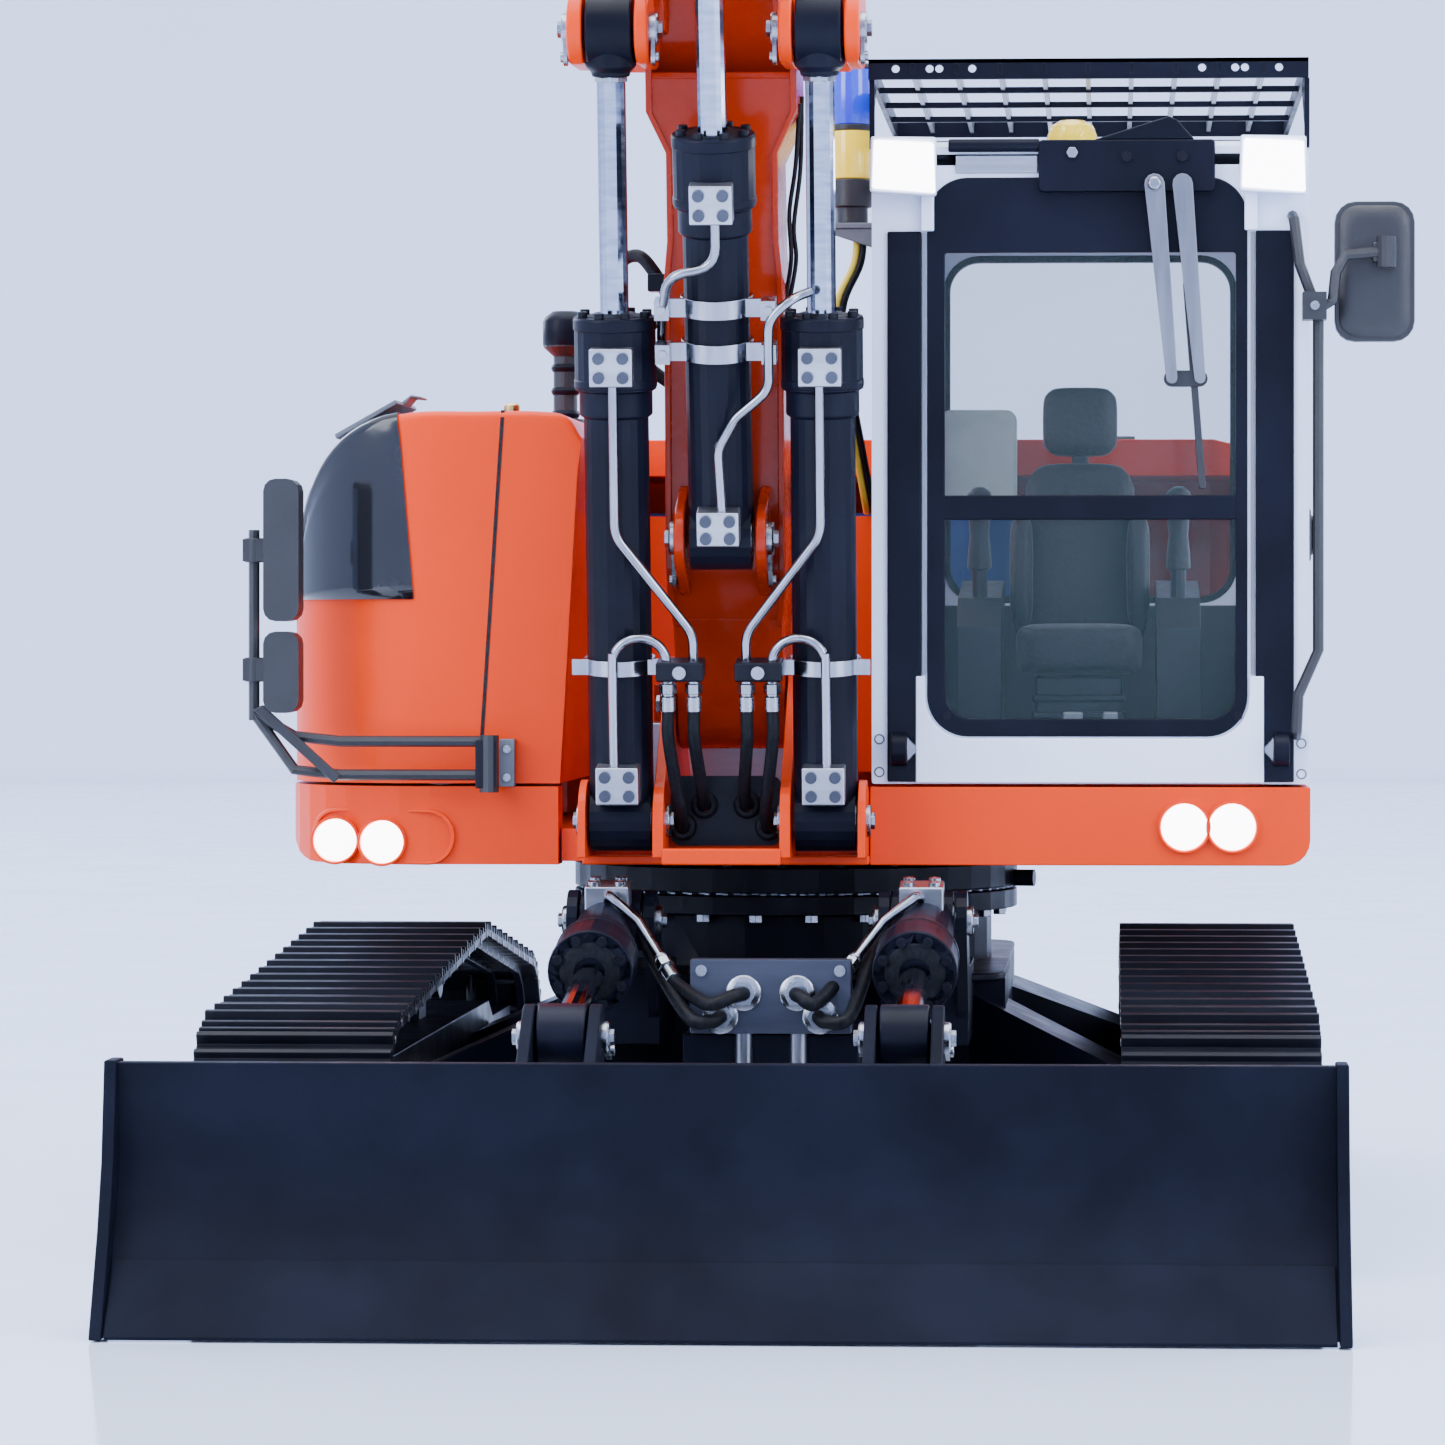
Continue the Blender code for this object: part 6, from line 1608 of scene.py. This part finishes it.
def make_seat():
    """A bucket seat: cushion, winged back and headrest, each stuffed."""
    parts = (
        ("seat_cushion", (47.8, -51.6, 114.2), (74.2, -6.4, 124.6), (0.0, 0.0, 0.2), 0.10, 0.0),
        ("seat_back", (49.0, -9.6, 118.8), (73.0, -1.2, 159.2), (0.0, 0.3, 0.0), 0.12, -8.0),
        ("seat_headrest", (53.0, -0.9, 160.8), (69.0, 6.8, 175.6), (0.0, 0.2, 0.0), 0.14, 0.0),
    )
    pivot = Vector((61.0, -4.0, 118.0))
    for name, low, high, crown, pinch, lean in parts:
        made = crowned_cushion(name, low, high, crown, pinch)
        turn = Matrix.Rotation(math.radians(lean), 4, "X")
        turn = Matrix.Translation(pivot) @ turn @ Matrix.Translation(-pivot)
        replaced = ("seat",) if name == "seat_cushion" else ()
        made.make(*replaced, moved=turn)
    for side, tag in SIDES:
        x = pivot.x + side * 12.4
        low, high = (x - 2.2, -14.6, 122.0), (x + 2.2, -5.0, 150.0)
        made = crowned_cushion("seat_wing_" + tag, low, high, (0.3, 0.3, 0.3), 0.2)
        made.make()
    frame_piece = Piece("seat_frame", "house", "plastic", 0.6, 3)
    frame_piece.block((52.0, -44.0, 98.4), (70.0, -12.0, 113.8))
    frame_piece.block((59.2, 1.2, 155.0), (62.8, 3.6, 164.0))
    for z in (101.5, 105.0, 108.5):
        frame_piece.block((51.4, -44.6, z), (70.6, -11.4, z + 1.6))
    frame_piece.make()
    trim = Piece("cab_rear_trim", "house", "pale_plastic", 0.8)
    trim.prism(rounded((30.0, 150.0), (47.0, 172.0), 2.5), "Y", 28.0, 31.0).make()
    stick_grips = Piece("joystick_grips", "house", "seat", 0.5, 3)
    profile = [(-2.0, 2.6), (1.0, 2.4), (5.0, 2.0), (9.0, 2.3), (12.0, 2.8), (14.0, 2.4), (15.0, 1.0)]
    for x in (40.5, 81.5):
        stick_grips.turned(profile, (x, -43.6, 138.0), (0, -0.15, 1.0), 20)
    stick_grips.make()
    tray = Piece("cab_instruments", "house", "grey_plastic", 0.5)
    for low, high, z in ((46.0, 54.0, 5.0), (58.0, 62.0, 8.0), (66.0, 69.0, 8.0), (76.0, 84.0, 4.0)):
        tray.block((low, -84.0, 95.6), (high, -79.0, 99.0 + z))
    tray.make()


def make_roof_guard():
    """The roof guard: its holed front bar, frame, posts and slats."""
    top, depth = 235.8, 4.0
    front, rear = -94.7, 27.7
    guard = Piece("roof_guard_frame", "house", "black", 0.15)
    holes = [
        circle((CAB_MIDDLE + hand * x, 233.9), 0.8, 12)
        for hand in (-1, 1)
        for x in (22.6, 29.1, 31.0, 37.7)
    ]
    bar = rounded((19.8, top - depth), (106.4, top), 0.3)
    guard.plate(bar, holes, "Y", front, front + 1.0)
    guard.block((19.8, front, top - 0.8), (106.4, front + 4.0, top))
    guard.plate(bar, [], "Y", rear - 1.0, rear)
    for low in (19.8, 105.4):
        guard.block((low, front + 0.5, top - depth), (low + 1.0, rear - 0.5, top))
        for y in (front + 0.8, rear - 2.8):
            guard.block((low + 0.2, y, CAB_TOP - 1.8), (low + 1.2, y + 2.0, top - depth))
        brace = [(front + 2.0, top - depth), (front + 17.0, top - depth), (front + 2.0, 222.0)]
        guard.prism(brace, "X", low + 0.2, low + 0.9)
    for index in range(1, 4):
        y = -93.5 + 30.0 * index
        guard.block((20.6, y - 0.6, top - depth + 0.4), (105.6, y + 0.6, top - depth + 1.6))
    guard.block((24.0, rear - 1.2, 226.4), (52.0, rear - 0.4, 231.0))
    guard.block((70.0, rear - 1.2, 226.4), (101.0, rear - 0.4, 231.0))
    guard.make("roof_guard")
    slats = Piece("roof_guard_slats", "house", "edge", 0.1)
    tabs = Piece("roof_guard_tabs", "house", "steel", 0.05)
    for index in range(1, 10):
        x = 19.9 + 8.63 * index
        slats.block((x - 0.45, front + 1.0, top - depth + 0.9), (x + 0.45, rear - 1.0, top - 0.4))
        outer = rounded((x - 0.55, 232.7), (x + 0.55, 235.0), 0.2, 1)
        inner = rounded((x - 0.35, 232.9), (x + 0.35, 234.8), 0.1, 1)
        tabs.band(outer, inner, "Y", front - 0.1, front + 0.2)
    slats.make()
    tabs.make()


def make_roof_lamps():
    """The two working lamps' housings at the roof's front corners, each on its bracket."""
    for tag, low_x, foot in (("left", 20.8, 9.4), ("right", 93.2, 0.6)):
        housing = Piece(f"roof_lamp_housing_{tag}", "house", "white", 0.5, 3)
        face = [(low_x - 0.5, 209.2), (low_x + 12.6, 208.4), (low_x + 12.6, 220.0), (low_x - 0.3, 220.2)]
        back = [(low_x + 1.5, 210.6), (low_x + 10.9, 210.6), (low_x + 10.9, 218.6), (low_x + 1.5, 218.6)]
        housing.rings(
            [[(x, y, z) for x, z in line] for y, line in ((-99.6, face), (-97.4, face), (-94.6, back))]
        )
        housing.make()
        bracket = Piece(f"roof_lamp_bracket_{tag}", "house", "white", 0.3)
        bracket.block((low_x + foot, -96.2, 201.8), (low_x + foot + 2.6, -94.6, 210.0)).make()


BEACON_TOWER = (13.4, -30.0, 208.4)
ROOF_BEACON = (59.6, -40.0, 220.0)


def make_beacons():
    """The two-colour beacon beside the cab with its bracket and wires, and the dome on the roof."""
    base = Piece("beacon_base", "house", "plastic", 0.25)
    base.turned([(0.0, 3.4), (3.4, 3.4), (3.4, 4.2), (9.2, 4.2)], BEACON_TOWER, Z_AXIS, 40)
    base.make("beacon_tower")
    amber = Piece("beacon_amber", "house", "amber", 0.3)
    amber.turned([(9.3, 4.15), (11.0, 4.3), (17.8, 4.3), (19.4, 4.15)], BEACON_TOWER, Z_AXIS, 40).make()
    blue = Piece("beacon_blue", "house", "blue", 0.3)
    blue.turned([(20.6, 4.15), (22.0, 4.3), (30.0, 4.3), (32.4, 4.1)], BEACON_TOWER, Z_AXIS, 40).make()
    caps = Piece("beacon_caps", "house", "plastic", 0.2)
    caps.turned([(19.4, 4.3), (20.6, 4.3)], BEACON_TOWER, Z_AXIS, 40)
    caps.turned([(32.4, 4.3), (33.3, 4.2), (33.5, 3.6)], BEACON_TOWER, Z_AXIS, 40).make()
    arm = Piece("beacon_bracket", "house", "grey_plastic", 0.2)
    arm.block((9.2, -34.0, 207.2), (20.3, -26.0, 208.4))
    arm.prism([(9.4, 207.2), (20.3, 207.2), (20.3, 202.4), (9.4, 206.0)], "Y", -33.6, -32.6).make()
    dome = Piece("roof_beacon", "house", "amber", 0.4, 3)
    dome.turned([(1.2, 5.2), (5.6, 5.2), (7.8, 4.4), (8.8, 2.6), (9.0, 0.8)], ROOF_BEACON, Z_AXIS, 40).make()
    foot = Piece("roof_beacon_foot", "house", "plastic", 0.3)
    foot.turned([(-0.2, 5.8), (1.2, 5.6)], ROOF_BEACON, Z_AXIS, 40).make()
    for name, material, shift in (("yellow", "wire_yellow", 0.0), ("black", "rubber", 1.4)):
        wire = Piece("beacon_wire_" + name, "house", material, 0.0)
        route = [(14.6, -31.0, 207.4), (14.0, -32.4, 200.0), (10.6, -33.0, 192.0), (9.8, -30.0, 182.0)]
        route += [(12.6, -22.0, 168.0), (15.0, -8.0, 152.0), (15.0, 4.0, 149.0)]
        wire.pipe(smooth_line([(x + shift, y, z) for x, y, z in route], 6), 0.75, 10).make()


# ---------------------------------------------------------------- boom and arm

BOOM_FRONT = [
    (124.0, -94.0), (131.0, -98.1), (136.0, -101.0), (160.0, -103.0), (182.0, -105.0), (191.0, -106.6)
]
BOOM_FRONT += [
    (199.0, -108.0), (216.0, -111.0), (223.9, -112.4), (231.5, -113.6), (238.0, -116.4), (250.0, -124.0)
]
BOOM_BACK = [(118.0, -64.0), (196.0, -78.0), (252.0, -95.0)]
BOOM_HALF = [(124.0, 10.8), (130.0, 11.7), (191.0, 11.7), (199.0, 10.9), (216.0, 10.9), (223.9, 14.7)]
BOOM_HALF.append((252.0, 14.7))


def between(line, height):
    """The value at a height along a line of (height, value) points."""
    for (low, first), (high, second) in zip(line, line[1:]):
        if height <= high:
            return first + (second - first) * max(0.0, (height - low) / (high - low))
    return line[-1][1]


def make_boom_lower():
    """Side plates whose edges stand proud of the front and rear plates, the foot, the fork and the ears."""
    heights = [point[0] for point in BOOM_FRONT]
    boom = Piece("boom_box", "boom_lower", "boom", 0.35, 3)
    for side in (LEFT, RIGHT):
        rings = []
        for z in heights:
            outer = BOOM_X + side * between(BOOM_HALF, z)
            inner = outer - side * 1.3
            front, back = between(BOOM_FRONT, z), between(BOOM_BACK, z)
            rings.append([(outer, front, z), (outer, back, z), (inner, back, z), (inner, front, z)])
        boom.rings(rings)
    front_heights = [z for z in heights if z <= 231.5]
    plates = (
        (BOOM_FRONT, 0.7, 2.2, front_heights),
        (BOOM_BACK, -0.7, -2.2, heights),
        (BOOM_FRONT, 9.4, 11.0, heights[-3:]),
    )
    for line, first, second, levels in plates:
        rings = []
        for z in levels:
            half = between(BOOM_HALF, z) - 1.0
            y = between(line, z)
            across = ((-half, first), (half, first), (half, second), (-half, second))
            rings.append([(BOOM_X + a, y + b, z) for a, b in across])
        boom.rings(rings)
    boom.block((BOOM_X - 13.6, -113.0, 230.2), (BOOM_X + 13.6, -103.0, 231.5))
    foot = pin("boom_lift")
    lower = arc((foot.y, foot.z), 8.5, 195.0, 345.0, 14)
    lower += [(-65.0, 118.0), (-65.4, 125.5), (-94.4, 125.5)]
    boom.prism(lower, "X", BOOM_X - 10.8, BOOM_X + 10.8)
    fold = pin("boom_fold")
    cheek = [(-93.0, 240.0), (-92.6, 254.0)] + arc((fold.y, fold.z), 11.0, -30.0, 180.0, 16)
    cheek += [(-124.0, 250.0), (-117.0, 239.0)]
    boom.both_sides(cheek, BOOM_X, 10.5, 14.8).make("boom_lower")

    rod_pin = pin("lift_rod_turn")
    ears = Piece("boom_lift_ears", "boom_lower", "orange", 0.6, 3)
    outline = strap((rod_pin.y, rod_pin.z), 6.7, (-112.0, 240.0), 8.0)
    for side in (LEFT, RIGHT):
        for inner, outer in ((12.4, 15.0), (25.0, 27.9)):
            low, high = sorted((BOOM_X + side * inner, BOOM_X + side * outer))
            ears.prism(outline, "X", low, high)
        low, high = sorted((BOOM_X + side * 14.8, BOOM_X + side * 25.2))
        ears.prism([(-106.0, 232.0), (-106.0, 246.0), (-119.0, 250.0), (-119.0, 234.0)], "X", low, high)
    ears.make()
    for side, tag in SIDES:
        x = BOOM_X + side * LIFT_SPACING
        pin_with_keeper(
            "lift_rod_pin_" + tag, "boom_lower", x, (rod_pin.y, rod_pin.z), 8.0, 3.2, (-1.0, -5.4)
        )
    base = pin("fold_barrel_turn")
    ear = Piece("boom_fold_ears", "boom_lower", "boom", 0.5, 3)
    outline = strap((base.y, base.z), 6.6, (-99.0, 141.0), 11.0)
    ear.both_sides(outline, BOOM_X, 6.9, 9.0).make()
    pin_with_keeper("boom_fold_pin", "boom_lower", BOOM_X, (fold.y, fold.z), 14.8, 4.0, (5.0, -7.0))
    cables = Piece("boom_cables", "boom_lower", "rubber", 0.0)
    first = [(6.9, -106.0, 226.0), (6.0, -104.0, 214.0), (4.6, -101.0, 205.0), (4.9, -100.0, 196.0)]
    second = [(7.0, -100.0, 228.0), (6.6, -98.0, 214.0), (5.2, -96.0, 203.0), (5.5, -94.0, 196.0)]
    for line in (first + [(3.4, -96.0, 188.0)], second + [(3.6, -92.0, 186.0)]):
        cables.pipe(smooth_line(line, 6), 0.45, 8)
    loop = [(-19.2, -92.0, 188.0), (-22.6, -93.0, 194.0), (-26.0, -92.0, 197.4), (-30.0, -88.0, 195.6)]
    loop += [(-31.0, -80.0, 188.0), (-27.0, -72.0, 178.0), (-19.8, -70.0, 172.0)]
    cables.pipe(smooth_line(loop, 6), 1.3).make()
    clip = Piece("boom_clip", "boom_lower", "steel", 0.2)
    clip.block((BOOM_X - 15.0, -104.5, 189.6), (BOOM_X - 11.6, -100.0, 193.0)).make()


def make_arm_details():
    """Pins with their keepers on the upper boom, the stick and the bucket's linkage."""
    joints = (
        ("stick_pin", "boom_upper", "stick_swing", 11.4, 3.6, (6.0, 5.0)),
        ("bucket_pin", "bucket", "bucket_curl", 13.8, 2.8, None),
        ("rocker_pin", "rocker", "rocker_turn", 8.4, 2.4, None),
        ("fold_rod_pin", "boom_upper", "fold_rod_turn", 7.8, 2.8, None),
        ("stick_base_pin", "boom_upper", "stick_barrel_turn", 9.4, 2.8, None),
        ("bucket_base_pin", "stick", "bucket_barrel_turn", 8.2, 2.6, None),
        ("stick_rod_pin", "stick", "stick_rod_turn", 6.8, 2.4, None),
        ("bucket_rod_pin", "rocker", "bucket_rod_turn", 8.3, 2.2, None),
    )
    for name, body, joint, half, radius, keeper in joints:
        centre = pin(joint)
        pin_with_keeper(name, body, BOOM_X, (centre.y, centre.z), half, radius, keeper)


# ---------------------------------------------------------------- the whole scene

make_studio()
finish_kept_nodes()
make_lift_cylinders()
make_fold_cylinder()
make_upper_cylinders()
make_blade_cylinders()
for side, tag in SIDES:
    make_track(side, "track_" + tag)
    make_running_gear(side, tag)
make_undercarriage()
make_blade()
make_hood()
make_skirt_lamps()
make_house_front()
make_tail()
make_exhaust()
make_rear_view_mirrors()
make_cab_shell()
make_cab_front()
make_cab_windows()
make_cab_door()
make_seat()
make_roof_guard()
make_roof_lamps()
make_beacons()
make_boom_lower()
make_arm_details()
